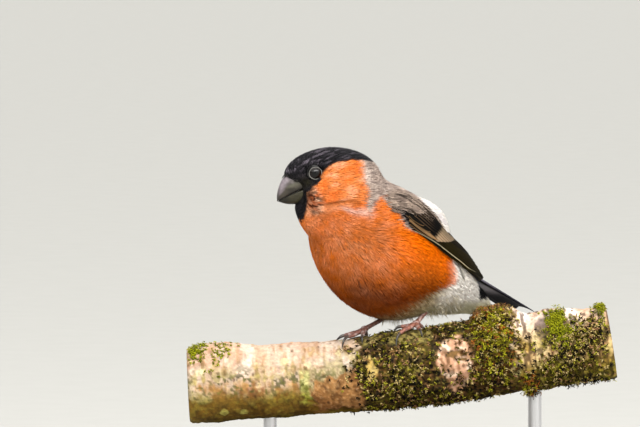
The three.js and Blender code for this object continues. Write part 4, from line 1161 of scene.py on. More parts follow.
def p8_edge(s):
    return np.interp(s, [0.15, 0.2, 0.226, 0.33, 0.404, 0.495, 0.61, 0.75, 0.84, 0.93, 1], [0.0, 0.005, 0.02, 0.085, 0.125, 0.165, 0.175, 0.155, 0.13, 0.10, 0.25])


def wing_low(s):
    """Lower edge of the wing as it shows above the flank's feathers."""
    return np.interp(s, [0.15, 0.19, 0.29, 0.38, 0.5, 0.61, 0.75, 0.85, 1], [0.0, 0.02, 0.045, 0.05, 0.07, 0.115, 0.11, 0.05, 0.0])


def flight_colours(kind, shine=1.0):
    def colours(t, mm, s, w, low, high):
        # painted reflection: a green-olive cast over the vanes' middle, its share set by shine
        base = mix(VANE_DARK, VANE_GREEN_REFLECTION, np.clip(0.10 + 0.90 * shine * ramp(s, 0.36, 0.5) * ramp(w - 0.30 * ramp(s, 0.7, 0.95), 0.60, 0.38), 0, 1.3))
        edge = np.clip((mm + low) / 0.26, 0, 1)
        if kind == "pale":
            base = mix(VANE_PALE * (0.42 + 0.58 * ramp(s, 0.36, 0.5) * ramp(s, 0.76, 0.70))[..., None], base, np.maximum(ramp(edge, 0.75, 1.0), ramp(s, 0.77, 0.82)))
        else:
            base = mix(srgb(50, 41, 17) if kind == "primary" else srgb(38, 31, 23), base, ramp(edge, 0.2, 0.9))
        # painted shadow: a dark band just inside each vane's lower edge
        base = base * (1 - 0.85 * np.exp(-((((mm + low) - 0.66) / 0.32) ** 2)))[..., None]
        hind = ramp(w - 0.91 + 0.34 * ramp(s, 0.72, 1.0), 0.0, 0.08) * ramp(s, 0.60, 0.72)
        base = mix(base, srgb(104, 86, 70), 0.80 * hind * (0.55 + 0.45 * np.sin(mm * 7)))
        shaft = np.exp(-((mm / 0.16) ** 2))
        base = mix(base, srgb(44, 38, 30), 0.5 * shaft)
        return base * (1 + 0.06 * np.sin(mm * 9 + t * 60))[..., None]

    return colours


def covert_colours(t, mm, s, w, low, high):
    rim = mix(srgb(88, 70, 54), srgb(16, 14, 12), ramp(s, 0.27, 0.35))
    base = mix(np.broadcast_to(srgb(7, 6, 5), rim.shape), rim, np.exp(-(((mm + low - 0.12) / 0.16) ** 2)))
    pale = ramp((s - pale_from(w)) + 0.006 * np.sin(mm * 7), -0.006, 0.010)
    bar = mix(BAR, srgb(152, 126, 98), 0.6 * ramp(w, 0.75, 0.35))
    bar = bar * (1 - 0.45 * np.exp(-(((mm + low) / 0.22) ** 2)))[..., None]
    base = mix(base, bar * (0.94 + 0.06 * np.sin(mm * 11))[..., None], pale)
    return base


def buff_colours(t, mm, s, w, low, high):
    across = (mm + low) / (low + high)
    return mix(BUFF * (0.75 + 0.35 * ramp(t, 0.2, 0.9))[..., None], srgb(30, 24, 18), ramp(across, 0.45, 0.95))


def sombre_colours(t, mm, s, w, low, high):
    base = mix(srgb(94, 72, 48), srgb(12, 10, 7), ramp(mm + low, 0.08, 0.30))
    return base * (1 + 0.1 * np.sin(mm * 9))[..., None]


def primary_edge(k):
    """Lower edge of primary number 7 down to 1, as k goes 0 to 6."""
    step = [0.06, 0.12, 0.18, 0.235, 0.285, 0.33, 0.37][k]
    return lambda s: p8_edge(s) + step * (1 - 0.3 * ramp(s, 0.75, 1.0))


for name, side in (("left", 1), ("right", -1)):
    parts = []

    def flight(edge, tip, low, high, colours, tag, start=0.2, lift=0.10, tilt=0.17, tip_at=0.80, sharp=2.2):
        s_t, w_t = tip
        ss = [start, 0.35, 0.5, 0.62, min(0.74, s_t - 0.12), s_t - 0.06, s_t]
        cs = []
        for q in ss[:-2]:
            if cs and q <= cs[-1][0] + 0.04:
                continue
            cs.append((q, edge(q) + low / wing_width(q)))
        wl = edge(s_t - 0.06) + low / wing_width(s_t - 0.06)
        cs.append((s_t - 0.06, 0.6 * wl + 0.4 * w_t))
        cs.append((s_t, w_t))
        parts.append(vane(side, cs, low, high, rounded(0.5, tip_at, sharp), lift, tilt, colours, tag))

    # primaries, the outermost first: each lies over the one before
    flight(wing_low, (0.955, 0.20), 0.9, 2.4, flight_colours("primary"), 0.11, lift=-0.05)
    flight(p8_edge, (0.995, 0.40), 1.0, 3.2, flight_colours("pale"), 0.17, lift=0.05)
    tips = [(1.0, 0.56), (0.975, 0.64), (0.935, 0.73), (0.90, 0.79), (0.865, 0.84), (0.835, 0.87), (0.805, 0.89)]
    # shine: each primary's own share of the painted green reflection
    for k, shine in enumerate([1.2, 0.75, 1.15, 0.45, 0.9, 0.35, 0.4]):
        flight(primary_edge(k), tips[k], 1.3, 3.6, flight_colours("primary", shine), 0.2 + 0.07 * k, lift=0.08)
    # secondaries and tertials
    for k, (w_e, s_t, w_t) in enumerate([(0.60, 0.775, 0.90), (0.64, 0.76, 0.905), (0.68, 0.745, 0.91), (0.72, 0.73, 0.915), (0.755, 0.715, 0.92), (0.79, 0.70, 0.93)]):
        flight(lambda s, w_e=w_e: w_e - 0.02 * ramp(s, 0.6, 0.3), (s_t, w_t), 1.4, 3.2, flight_colours("inner"), 0.31 + 0.09 * k, lift=0.12, tip_at=0.84, sharp=2.6)
    for k, (w_e, s_t, w_t) in enumerate([(0.80, 0.68, 0.94), (0.845, 0.63, 0.95), (0.89, 0.575, 0.96)]):
        flight(lambda s, w_e=w_e: w_e + 0 * s, (s_t, w_t), 1.5, 2.0, flight_colours("inner"), 0.41 + 0.13 * k, lift=0.22, tip_at=0.78, sharp=2.4)
    # primary coverts and alula: buff edges
    for k, (s0, w0, s1, w1, s2, w2, half, paint) in enumerate([
        (0.16, 0.085, 0.25, 0.125, 0.345, 0.165, 0.7, sombre_colours),
        (0.15, 0.15, 0.25, 0.18, 0.372, 0.205, 0.95, buff_colours),
        (0.15, 0.19, 0.21, 0.215, 0.30, 0.235, 0.8, sombre_colours),
        (0.14, 0.23, 0.19, 0.25, 0.25, 0.27, 0.8, sombre_colours),
    ]):
        parts.append(vane(side, [(s0, w0), (s1, w1), (s2, w2)], half, half, rounded(0.5, 0.6), 0.30 + 0.08 * k, 0.12, paint, 0.5 + 0.11 * k, n=18, m=9))
    # greater coverts
    for k, w in enumerate([0.225, 0.30, 0.39, 0.48, 0.57, 0.66, 0.75, 0.84, 0.93]):
        s_t = float(np.interp(w, [0.2, 0.26, 0.53, 0.8, 0.93], [0.385, 0.405, 0.488, 0.55, 0.535]))
        w0 = 0.20 + (w - 0.2) * 0.9
        parts.append(vane(side, [(s_t - 0.27, w0), (s_t - 0.14, (w0 + w) / 2), (s_t, w)], 1.25, 1.5, rounded(0.6, 0.72, 2.4), 0.34, 0.16, covert_colours, 0.07 + 0.1 * k, n=22, m=9))

    # the dark core below the vanes
    S, W = np.meshgrid(np.linspace(0, 1, 44), np.linspace(0, 1, 15), indexing="ij")
    inner_s = 0.01 + 0.965 * S
    inner_w = 0.04 + wing_low(inner_s) + (0.92 - wing_low(inner_s)) * W
    outer = on_wing(side, inner_s, inner_w, wing_face(inner_s, inner_w) - 0.75 - 0.25 * ramp(inner_s, 0.3, 0))
    q = 1 - 0.75 * np.abs(2 * inner_w - 1) ** 3.5
    under = on_wing(side, inner_s, inner_w, -smooth_table(WING_SINK, inner_s) * q - 0.6 * (1 - q) * (1 - inner_s**4) + 0.12)
    verts = np.concatenate([outer.reshape(-1, 3), under.reshape(-1, 3)])
    parts.append((verts, outward(verts, sheet_faces(44, 15)), srgb(30, 28, 30), np.zeros(3)))
    verts, faces, cols, marks = join(parts)
    make("wing_feathers_" + name, verts, faces, M_VANE, cols, marks, replaces=("wing_" + name,), into_part=True)


# ---------------------------------------------------------------- scapulars and lesser coverts: soft grey feathers over the wing's root
def scapular_line(s):
    return np.interp(s, [0.0, 0.10, 0.14, 0.175, 0.26, 0.35, 0.46], [0.0, 0.0, 0.16, 0.34, 0.50, 0.66, 0.93])


def wing_skin(p):
    s, w = wing_place(p)
    return outline(p) - wing_face(np.clip(s, 0, 1), np.clip(w, 0, 1)) - 0.15


def wing_lay(p, n):
    s, w = wing_place(p)
    pitch = np.radians(np.interp(s, [0, 0.15, 0.4], [20, 24, 30]))
    v = np.stack([-np.cos(pitch), 0 * pitch, -np.sin(pitch)], -1)
    v = v - (v * n).sum(-1, keepdims=True) * n
    return unit(v)


def scapular_colours(p):
    s, w = wing_place(p)
    soft = noise(p, 2.2, 41, 2)
    c = mix(srgb(124, 108, 99), srgb(176, 157, 142), np.clip(0.5 + 0.9 * soft, 0, 1))
    lines = noise(stacked(s * 55 / 5.5, w * 17 / 0.95, 0.0), 1.0, 43)
    c = mix(c, srgb(40, 33, 30), np.clip(0.92 * ramp(lines, 0.0, 0.42) * ramp(s, 0.0, 0.13), 0, 1))
    c = mix(c, srgb(120, 102, 84), 0.35 * ramp(w - scapular_line(s), 0.14, 0.0))
    return c, np.zeros(p.shape[:-1])


SCAP = Coat()
rng = np.random.default_rng(909)
for name, side, tag in (("left", 1, 5), ("right", -1, 6)):
    s, w = rng.random(9000) * 0.45, rng.random(9000) * 1.12
    ok = (w > scapular_line(s + 0.085) - 0.02) & (s > 0.0)
    keep = ok & (rng.random(9000) < wing_width(s) / 17.5)
    p = on_wing(side, s[keep], w[keep], wing_face(s[keep], np.clip(w[keep], 0, 1)) - 0.6)
    uv = np.stack([np.where(side > 0, 0.02, 0.52) + 0.42 * s[keep] / 0.45, 0.05 + 0.80 * w[keep]], -1)
    pick = scattered(p, np.full(len(p), 1.55), rng)
    p, uv = p[pick], uv[pick]
    n = len(p)
    grow(SCAP, p, uv, rng, wing_skin, np.full(n, 0.7), np.full(n, 5.6), np.full(n, 2.7), 16, np.full(n, 0.14), np.full(n, tag), k=5, colour=scapular_colours, shade=0.45, lay=wing_lay, tint=0.14, lift=0.25, fan=0.28, loose=0.12)
SCAP.pieces({5: ("coat_scapulars_left", M_COAT, "wing_plumage"), 6: ("coat_scapulars_right", M_COAT, "wing_plumage")}, lambda where, black: where)


# ---------------------------------------------------------------- tail: twelve feathers
TAIL_AT, TAIL_PITCH, TAIL_LONG = np.array([-33, 0, -8.6]), 25.8, 47.5
TAIL_BACK = np.array([-np.cos(np.radians(TAIL_PITCH)), 0, -np.sin(np.radians(TAIL_PITCH))])
TAIL_UP = np.array([-np.sin(np.radians(TAIL_PITCH)), 0, np.cos(np.radians(TAIL_PITCH))])


def tail_half(s):
    return 5.4 + 3.2 * np.maximum(s, 0) ** 0.8


def rectrix(k, side):
    """k from 0, the middle pair on top, to 5, the outermost."""
    n, m = 30, 9
    inner_edge = [-0.10, 0.02, 0.14, 0.27, 0.40, 0.52][k]
    outer_edge = [0.30, 0.46, 0.60, 0.73, 0.86, 0.985][k]
    s = np.linspace(0.0, 1, n)[:, None]
    a = np.linspace(-1, 1, m)[None]
    end = np.clip((s - 0.90) / 0.10, 0, 1)
    shrink = (1 - end**2.4) ** 0.6
    shaft = inner_edge + (outer_edge - inner_edge) * 0.60
    lo = shaft + (inner_edge - shaft) * np.maximum(shrink, 0.03)
    hi = shaft + (outer_edge - shaft) * np.maximum(shrink, 0.03)
    w = np.where(a < 0, shaft + (shaft - lo) * a, shaft + (hi - shaft) * a)
    half = tail_half(s)
    y = half * w
    long = (TAIL_LONG - 2.4 * (1 - shaft) - [0.6, 0.2, 0, 0, 0.1, 0.5][k]) * s
    thick = 2.6 + (1.2 - 2.6) * s
    fall = 0.075 * (half * outer_edge - y) + 0.05 * k
    arch = -1.6 * w * w
    ridge = 0.10 * np.exp(-(((y - half * shaft) / 0.3) ** 2)) * (1 - s)
    ragged = 0.05 * noise(stacked(s * 60 + k * 7, np.sign(a) * 5, 0.0), 1.0, 8) * (np.abs(a) > 0.9)
    layers = []
    for level in (1, 0):
        up = arch + thick * 0.5 * (1 - 0.5 * w**4) * (1 - 0.4 * s) - fall + (ridge if level else -0.14 - ridge * 0.4)
        layers.append(TAIL_AT + TAIL_BACK * (long + 0 * up)[..., None] + TAIL_UP * up[..., None] + np.array([0, side, 0.0]) * (y + ragged)[..., None])
    verts = np.concatenate([x.reshape(-1, 3) for x in layers])
    edge = np.abs(y - half * hi)
    col = mix(srgb(7, 7, 8), srgb(22, 22, 28), 0.5 * ramp(s, 0.25, 0.7) + 0 * y)
    # a grey-violet sheen on the outer webs near the root
    sheen_ = ramp(w, 0.30, 0.50) * ramp(s, 0.50, 0.30) * ramp(w, 0.99, 0.90)
    col = mix(col, srgb(104, 99, 110), 0.8 * sheen_ * (0.75 + 0.25 * np.sin(y * 3.1 + s * 9)))
    col = mix(col, srgb(40, 40, 50), 0.5 * np.exp(-((edge / 0.35) ** 2)))
    if k == 5:
        col = mix(col, srgb(84, 82, 92), 0.35 * np.exp(-((edge / 0.3) ** 2)))
    col = col * (1 + 0.08 * np.sin(s * 90 + y * 2))[..., None]
    # the underside: dark, with a painted grey-violet sheen near the root
    under = mix(srgb(46, 44, 50), srgb(196, 188, 202), np.exp(-(((w - 0.72) / 0.26) ** 2)) * ramp(s, 0.62, 0.30))
    mark = stacked(s * 5.5, (y - half * shaft) / 3, 0.13 * k).reshape(-1, 3)
    return verts, outward(verts, sheet_faces(n, m)), np.concatenate([col.reshape(-1, 3), under.reshape(-1, 3)]), np.concatenate([mark, mark])


parts = [rectrix(k, side) for k in range(6) for side in (1, -1)]
S, W = np.meshgrid(np.linspace(0, 0.9, 24), np.linspace(-0.82, 0.82, 13), indexing="ij")
core = []
for face in (1, -1):
    thick = (2.6 - 1.4 * S) * (1 - 0.7 * W**4) - 0.9
    up = -1.6 * W * W + face * np.maximum(thick, 0.12) / 2 - 0.35
    core.append(TAIL_AT + TAIL_BACK * (TAIL_LONG * S)[..., None] + TAIL_UP * up[..., None] + np.array([0, 1, 0.0]) * (tail_half(S) * W)[..., None])
verts = np.concatenate([x.reshape(-1, 3) for x in core])
# the core's underside: dark, with a painted grey-violet sheen near the root
below = mix(srgb(24, 23, 27), srgb(196, 190, 200), np.exp(-(((np.abs(W) - 0.12) / 0.36) ** 2)) * ramp(S, 0.70, 0.42))
shade_ = np.concatenate([below.reshape(-1, 3) * 0 + srgb(26, 26, 32), below.reshape(-1, 3)])
parts.append((verts, outward(verts, sheet_faces(24, 13)), shade_, np.zeros(3)))
verts, faces, cols, marks = join(parts)
make("tail_feathers", verts, faces, M_VANE, cols, marks, replaces=("tail",), into_part=True)


# ---------------------------------------------------------------- bill
def bezier(c, t):
    t = np.asarray(t, float)[..., None]
    c = np.asarray(c, float)
    return (1 - t) ** 3 * c[0] + 3 * (1 - t) ** 2 * t * c[1] + 3 * (1 - t) * t * t * c[2] + t**3 * c[3]


CULMEN = [(9, 8), (16, 10), (21.7, 3), (22.5, -1.8)]
GAPE = [(9, 0.1), (13.5, 0), (18.5, -0.6), (22.3, -1.6)]
GONYS = [(9, -5), (15, -6.1), (19.5, -4.2), (21.7, -2.1)]


def on_mandible(ridge, half_width, power, t, a):
    """Points of a mandible's outer face: t from its base to its tip, a from one cutting edge over the ridge to the other."""
    e, r = bezier(GAPE, t), bezier(ridge, t)
    d = r - e
    long = np.linalg.norm(d, axis=-1)
    d = d / long[..., None]
    half = half_width * (1 - t**1.9) ** 0.75 + 0.22
    h = 0.16 + (long - 0.16) * np.sin(a) ** power
    y = half * np.cos(a)
    # the cutting edge rolls in a little, and the ridge is a soft keel
    y = y * (1 - 0.05 * np.exp(-((h / 0.7) ** 2)))
    p = np.stack([e[..., 0] + d[..., 0] * h, y, e[..., 1] + d[..., 1] * h], -1)
    # growth ridges
    wave = 0.018 * np.sin(p[..., 0] * 5.2 + 0.9 * np.abs(y)) * ramp(t, 1, 0.4)
    out = unit(np.stack([0 * y, y, (h - long * 0.35) * d[..., 1]], -1))
    return p + out * wave[..., None], out, e, d, half


def mandible(ridge, half_width, power, upper):
    n, m = 54, 36
    t = np.linspace(0, 0.994, n) ** 0.9
    a = np.linspace(0, np.pi, m)
    tt, aa = np.meshgrid(t, a, indexing="ij")
    p, _, e, d, half = on_mandible(ridge, half_width, power, tt, aa)
    e, d, half = e[:, :1], d[:, :1], half[:, :1]
    q = np.linspace(1, -1, 15)[1:-1][::-1]
    floor_ = np.stack([(e[..., 0] + d[..., 0] * 0.2) + 0 * q, half * 0.94 * q[None], (e[..., 1] + d[..., 1] * (0.2 + 0.35 * (1 - q[None] ** 2))) + 0 * q], -1)
    ring = np.concatenate([p, floor_], 1)
    k = ring.shape[1]
    tip = bezier(ridge, np.array([1.0]))[0]
    ends = np.stack([ring[0].mean(0), [tip[0], 0, tip[1]]])
    verts = np.concatenate([ring.reshape(-1, 3), ends])
    x, z = verts[:, 0], verts[:, 2]
    over = np.concatenate([np.concatenate([np.sin(aa), np.zeros((n, len(q)))], 1).ravel(), [0, 1.0]])  # 0 at the cutting edge, 1 on the ridge
    spots = np.clip(1.8 * noise(verts * [0.8, 1, 1.6], 2.0, 61, 2), -1, 1)
    if upper:
        c = mix(srgb(26, 24, 18), srgb(58, 53, 45), np.clip(0.5 + 0.4 * spots + 0.5 * ramp(x, 13, 19), 0, 1))
        # painted highlight over the upper mandible's ridge and upper sides
        sheen_ = ramp(over + 0.10 * spots, 0.42, 0.80) * ramp(x, 9.5, 13.5) * ramp(x, 22.6, 19.5)
        c = mix(c, srgb(128, 119, 125), 0.85 * sheen_)
        c = mix(c, srgb(84, 84, 70), 0.6 * np.exp(-(((z - 2.6 - 0.12 * (16 - x)) / 0.45) ** 2)) * ramp(x, 18.5, 16.5))
        c = mix(c, srgb(84, 80, 68), 0.55 * np.exp(-((over - 0.22) / 0.10) ** 2) * ramp(x, 17.5, 15) * (spots > -0.3))
        c = mix(c, srgb(20, 18, 16), ramp(over, 0.12, 0.02) * 0.8)
    else:
        c = mix(srgb(28, 25, 15), srgb(62, 58, 38), np.clip(0.55 + 0.4 * spots, 0, 1) * ramp(x, 20, 15))
        # painted shade: darker towards the lower mandible's underside keel
        c = mix(c, srgb(26, 23, 16), ramp(over, 0.55, 0.95) * 0.75)
    c = mix(c, srgb(34, 31, 32), ramp(x, 20.6, 22.4) * 0.6)
    return verts, outward(verts, tube_faces(n, k)), c


for name, ridge, half_width, power in (("bill_upper", CULMEN, 4.7, 0.85), ("bill_lower", GONYS, 4.25, 0.9)):
    verts, faces, cols = mandible(ridge, half_width, power, name == "bill_upper")
    make(name + "_horn", from_head(verts), faces, M_BILL, cols, replaces=(name,), into_part=True)

# short bristly feathers that lie forward over the nostrils
TUFTS = Coat()
rng = np.random.default_rng(555)
n = 640
a = rng.uniform(0.14, 0.86, n) * np.pi
top = np.sin(a)
from_t = 0.15 + rng.uniform(-0.02, 0.20, n) * top**2
to_t = from_t + rng.uniform(0.10, 0.18, n) * (0.55 + 0.45 * top)
a_end = a + rng.normal(0, 0.05, n) + 0.10 * np.sign(a - np.pi / 2) * (1 - top)
pts = []
for i in range(5):
    s = i / 4
    p, out, *_ = on_mandible(CULMEN, 4.7, 0.85, from_t + (to_t - from_t) * s, a + (a_end - a) * s)
    pts.append(from_head(p + out * (0.12 + 0.28 * np.sin(s * 2.2) + rng.uniform(0, 0.12, n))[:, None]))
paths = np.stack(pts, 1)
_, out, *_ = on_mandible(CULMEN, 4.7, 0.85, (from_t + to_t) / 2, a)
out = out @ RH.T
t_ = unit(np.gradient(paths, axis=1))
nn = out[:, None] + 0 * t_
nn = unit(nn - (nn * t_).sum(-1, keepdims=True) * t_)
# about a third of the tufts are grey: painted highlights on black feathers
black_with_sheen = mix(srgb(14, 13, 13), srgb(96, 92, 84), (rng.random(n) > 0.66) * rng.uniform(0.3, 1.0, n))
u0 = np.stack([0.25 + 0.3 * a / np.pi, 0.93 + 0.04 * top], -1)
TUFTS.add(paths, nn, rng.uniform(0.08, 0.13, n), black_with_sheen * 0.6, black_with_sheen, u0, np.ones(n), np.zeros(n, int))
TUFTS.pieces({0: ("coat_nostril_tufts", M_BLACK, "black_plumage")}, lambda where, black: where)

# ---------------------------------------------------------------- eyes, each with a ring of bare skin
for name, (centre, way) in EYES.items():
    ax = unit(RH @ np.array([1.0, 0, 0]) - way * (RH @ np.array([1.0, 0, 0]) @ way))
    az = np.cross(way, ax)
    if az @ (RH @ np.array([0, 0, 1.0])) < 0:
        az = -az
    n, m = 56, 72
    lat = np.linspace(0, np.pi, n + 2)[1:-1]
    lon = np.arange(m) / m * 2 * np.pi
    # the cornea bulges a little over the ball
    bulge = 1 + 0.035 * ramp(np.cos(lat), 0.66, 0.95)
    ring = (way * (np.cos(lat) * bulge)[:, None, None] + ax * (np.sin(lat)[:, None] * np.cos(lon))[..., None] + az * (np.sin(lat)[:, None] * np.sin(lon))[..., None])
    verts = centre + np.concatenate([ring.reshape(-1, 3) * EYE_R, [way * EYE_R * 1.035, -way * EYE_R]])
    faces = outward(verts, tube_faces(n, m))
    off = np.linalg.norm((verts - centre) - ((verts - centre) @ way)[:, None] * way, axis=1)
    iris = mix(srgb(5, 4, 4), srgb(20, 12, 9), ramp(off, 1.35, 1.5) * ramp(off, 2.3, 1.9) * 0.55)
    make("eyeball_" + name, verts, faces, M_EYE, iris, replaces=("eye_" + name,), into_part=True)
    # lids: a thin beaded rim, a little pointed in front and behind, the upper one flatter
    turn = np.arange(128) / 128 * 2 * np.pi
    radius = 2.24 + 0.10 * np.cos(turn) ** 8 - 0.10 * np.maximum(np.sin(turn), 0) ** 2
    flat_ = centre + ax * (np.cos(turn) * radius)[:, None] + az * (np.sin(turn) * radius)[:, None]
    rim = flat_ + way * np.sqrt(EYE_R**2 - radius**2)[:, None]
    tangent = unit(np.roll(rim, -1, 0) - np.roll(rim, 1, 0))
    outer = unit(rim - centre)
    along_skin = np.cross(tangent, outer)
    along_skin = along_skin * np.sign(((flat_ - centre) * along_skin).sum(1))[:, None]
    q = np.arange(14) / 14 * 2 * np.pi
    bead = 1 + 0.13 * np.abs(np.sin(turn * 17))
    wide, high = 0.15 * bead, 0.16 * bead
    ring = rim[:, None] + along_skin[:, None] * (0.12 + np.cos(q)[None] * wide[:, None])[..., None] + outer[:, None] * (np.sin(q)[None] * high[:, None])[..., None]
    i, j = np.meshgrid(np.arange(128), np.arange(14), indexing="ij")
    faces = [np.stack([i * 14 + j, ((i + 1) % 128) * 14 + j, ((i + 1) % 128) * 14 + (j + 1) % 14, i * 14 + (j + 1) % 14], -1).reshape(-1, 4)]
    verts = ring.reshape(-1, 3)
    tone = mix(srgb(50, 48, 46), srgb(116, 114, 108), np.clip(0.55 + 0.5 * np.sin(turn * 17) ** 2 - 0.35 * (np.sin(turn) > 0.3), 0, 1))
    make("eye_ring_" + name, verts, outward(verts, faces), M_LID, np.repeat(tone, 14, 0), into_part=True)


# ---------------------------------------------------------------- perch line, and feet
PERCH_HALF, PERCH_R, SLOPE, BEND = 81.5, 14.6, 0.103, 0.000338
MOSS = [(38.5, 88, 5.6, 8.5, 34), (62, 62, 2.0, 9, 40), (10, 40, 1.0, 26, 60), (-68, 60, 1.6, 10, 50)]


def perch_z(x):
    return 43.1 + SLOPE * x + BEND * x * x


def perch_y(x):
    return 0.5 * np.sin(x * 0.035 + 0.6)


def perch_radius(x, turn):
    r = PERCH_R + 0.35 * np.sin(x * 0.071 + 1) + 0.25 * np.sin(x * 0.19 + turn * 0.035)
    r = r + 0.25 * np.sin(np.radians(3 * turn) + x * 0.05)
    near = 0.0
    for mx, mt, high, half, wide in MOSS:
        a = (turn - mt + 180) % 360 - 180
        q = ((x - mx) / half) ** 2 + (a / wide) ** 2
        near = np.maximum(near, high * np.exp(-q * q * 0.7))
    return r + near


def perch_top(x, y):
    slope = SLOPE + 2 * BEND * x
    dy = y - perch_y(x)
    turn = math.degrees(math.atan2(math.sqrt(max(0.01, PERCH_R**2 - dy * dy)), -dy))
    r = float(perch_radius(x, turn))
    up = math.sqrt(max(0.5, r * r - dy * dy))
    return np.array([x, y, perch_z(x) + up * math.sqrt(1 + slope * slope)]), unit(np.array([-slope, dy / r, up / r]))


TOE_R = 0.85
FEET = {
    "left": ([6.2, -1.5, 61.2], [15.6, 8.3, 71.6], {"hind": (72, 85, 7.5, 6.0), "inner": (194, 250, 5.6, 3.8), "middle": (232, 272, 8.6, 6.4), "outer": (282, 280, 5.8, 3.8)}),
    "right": ([-13.6, -0.5, 59.0], [-2.0, 9.6, 64.6], {"hind": (84, 92, 7.5, 6.0), "inner": (262, 268, 5.8, 3.8), "middle": (218, 272, 7.8, 6.6), "outer": (191, 252, 6.8, 4.4)}),
}


def toe_line(foot, heading, length, lift):
    way = math.radians(heading)
    pts = [np.array(foot, float)]
    x, y, done = foot[0], foot[1], 0.0
    high = foot[2] - perch_top(x, y)[0][2]
    while done < length:
        normal = perch_top(x, y)[1]
        d = np.array([math.cos(way), math.sin(way), 0.0])
        d = unit(d - d @ normal * normal)
        x, y, done = x + d[0] * 2, y + d[1] * 2, done + 2
        at_, normal = perch_top(x, y)
        share = min(1, done / 4.5)
        rise = high * (1 - share) ** 2 + lift * (1 - (1 - share) ** 2)
        knuckle = 0.35 * abs(math.sin(done / length * math.pi * 2.5)) * share
        pts.append(at_ + normal * (rise + knuckle))
    return np.array(pts)


def scutes(count, deep, start=0.0):
    """Overlapping plates across the upper side of a toe or shank, and fine pads below."""

    def bumps(share, turn):
        saw = (share * count + start) % 1.0
        plate = deep * (1 - saw) ** 0.7 - deep * 0.4
        upper = ramp(np.cos(turn), -0.25, 0.35)
        pads = deep * 0.6 * np.sin(share * count * 9) * np.cos(turn * 5)
        return plate * upper + pads * (1 - upper)

    return bumps


def leg_colours(verts, base, dark):
    c = mix(base, dark, np.clip(0.4 + 0.7 * noise(verts, 1.6, 71, 2), 0, 1))
    c = mix(c, mix(base, np.ones(3), 0.30), 0.55 * ramp(noise(verts, 1.3, 75), 0.15, 0.6))
    return mix(c, srgb(84, 44, 40), 0.6 * ramp(noise(verts, 0.8, 73), 0.1, 0.7))


for name, (foot, heel, toes) in FEET.items():
    base, dark = (srgb(150, 99, 83), srgb(82, 48, 38)) if name == "left" else (srgb(124, 84, 73), srgb(70, 44, 37))
    toe_parts = []
    for toe, (heading, tip_way, length, claw) in toes.items():
        pts = toe_line(foot, heading, length, TOE_R + 0.45)
        fine = resampled(pts, 46)
        s = np.linspace(0, 1, 46)
        radii = TOE_R * (1.12 - 0.34 * s + 0.10 * np.abs(np.sin(s * np.pi * 2.5)))
        normal = np.array([perch_top(p[0], p[1])[1] for p in fine])
        verts, faces = sweep(fine, radii * ramp(s, 1.06, 0.90) ** 0.5, 20, normal, 1.0, scutes(length * 1.25, 0.10))
        toe_parts.append((verts, faces, leg_colours(verts, base, dark)))
        # claw
        end, ahead = pts[-1], unit(pts[-1] - pts[-2])
        d = unit(ahead + 0.35 * perch_top(end[0], end[1])[1])
        q = end + ahead * (TOE_R * 0.5 + GAP)
        cp, cr = [end + ahead * (TOE_R * 0.5 + GAP - 0.9)], [0.60]
        for k in range(5):
            cp.append(q.copy())
            cr.append(0.62 * (1 - k / 4.6) ** 0.8 + 0.05)
            down = perch_top(q[0], q[1])[1]
            t = np.array([math.cos(math.radians(tip_way)), math.sin(math.radians(tip_way)), 0.0])
            t = unit(t - t @ down * down)
            d = unit(d + t * 0.45 + down * (-0.62 + 0.06 * k))
            q = q + d * claw / 4
            at_, down = perch_top(q[0], q[1])
            clear = (q - at_) @ down - (cr[-1] + 0.12)
            if clear < 0:
                q = q - down * clear
        curve = resampled(cp, 40)
        s = np.linspace(0, 1, 40)
        radii = np.interp(s, np.linspace(0, 1, 6), cr)
        radii = np.where(s > 0.8, 0.045 + (radii - 0.045) * np.clip((1 - s) / 0.2, 0, 1), radii)
        verts, faces = sweep(curve, radii, 18, np.array([perch_top(p[0], p[1])[1] for p in curve]), 0.72)
        shade = mix(srgb(74, 64, 58), srgb(30, 27, 26), ramp(np.concatenate([np.repeat(s, 18), [0, 1]]), 0.05, 0.6))
        make(f"claw_{name}_{toe}_horn", verts, faces, M_CLAW, shade, replaces=(f"claw_{name}_{toe}",))
    # the ball of the foot, with its pad
    i = np.linspace(0, np.pi, 26)[1:-1]
    j = np.arange(36) / 36 * 2 * np.pi
    ball = np.stack([np.sin(i)[:, None] * np.cos(j), np.sin(i)[:, None] * np.sin(j), np.cos(i)[:, None] + 0 * j], -1).reshape(-1, 3)
    ball = np.concatenate([ball, [[0, 0, 1], [0, 0, -1]]])
    ball = ball * (1.42 + 0.05 * noise(ball * 3, 0.7, 4))[:, None] * [1.05, 1.0, 0.9]
    verts = ball + np.array(foot)
    toe_parts.append((verts, outward(verts, tube_faces(24, 36)), leg_colours(verts, base, dark)))
    verts, faces, cols, marks = join(toe_parts)
    make("toes_" + name, verts, faces, M_LEG, cols, replaces=("foot_" + name,))
    foot, heel = np.array(foot, float), np.array(heel, float)
    way = unit(heel - foot)
    long = np.linalg.norm(heel - foot)
    s = np.linspace(0, 1, 70)
    shank = foot + way * (0.4 + (long - 0.2) * s)[:, None]
    radii = np.interp(s, [0, 0.12, 0.3, 0.6, 0.85, 1], [1.1, 0.98, 0.93, 0.93, 1.12, 1.42])
    front = np.array([0.25, -1.0, 0.15])
    verts, faces = sweep(shank, radii, 28, unit(front), 0.9, scutes(long / 1.7, 0.10))
    make("shank_" + name, verts, faces, M_LEG, leg_colours(verts, base, dark), replaces=("leg_" + name,))


# ---------------------------------------------------------------- perch: bark with lichen, and sawn ends
def perch_point(x, turn, r):
    slope = SLOPE + 2 * BEND * x
    n = np.stack([-slope, 0 * slope, 1 + 0 * slope], -1) / np.sqrt(1 + slope**2)[..., None]
    t = np.radians(turn)
    mid = np.stack([x, perch_y(x), perch_z(x)], -1)
    p = mid + n * (r * np.sin(t))[..., None]
    p[..., 1] -= r * np.cos(t)
    return p


def band(x, a, b, c, d):
    return ramp(x, a, b) * ramp(x, d, c)


def patchy(p, size, seed, octaves=2):
    return np.clip(2.4 * noise(p, size, seed, octaves), -1, 1)


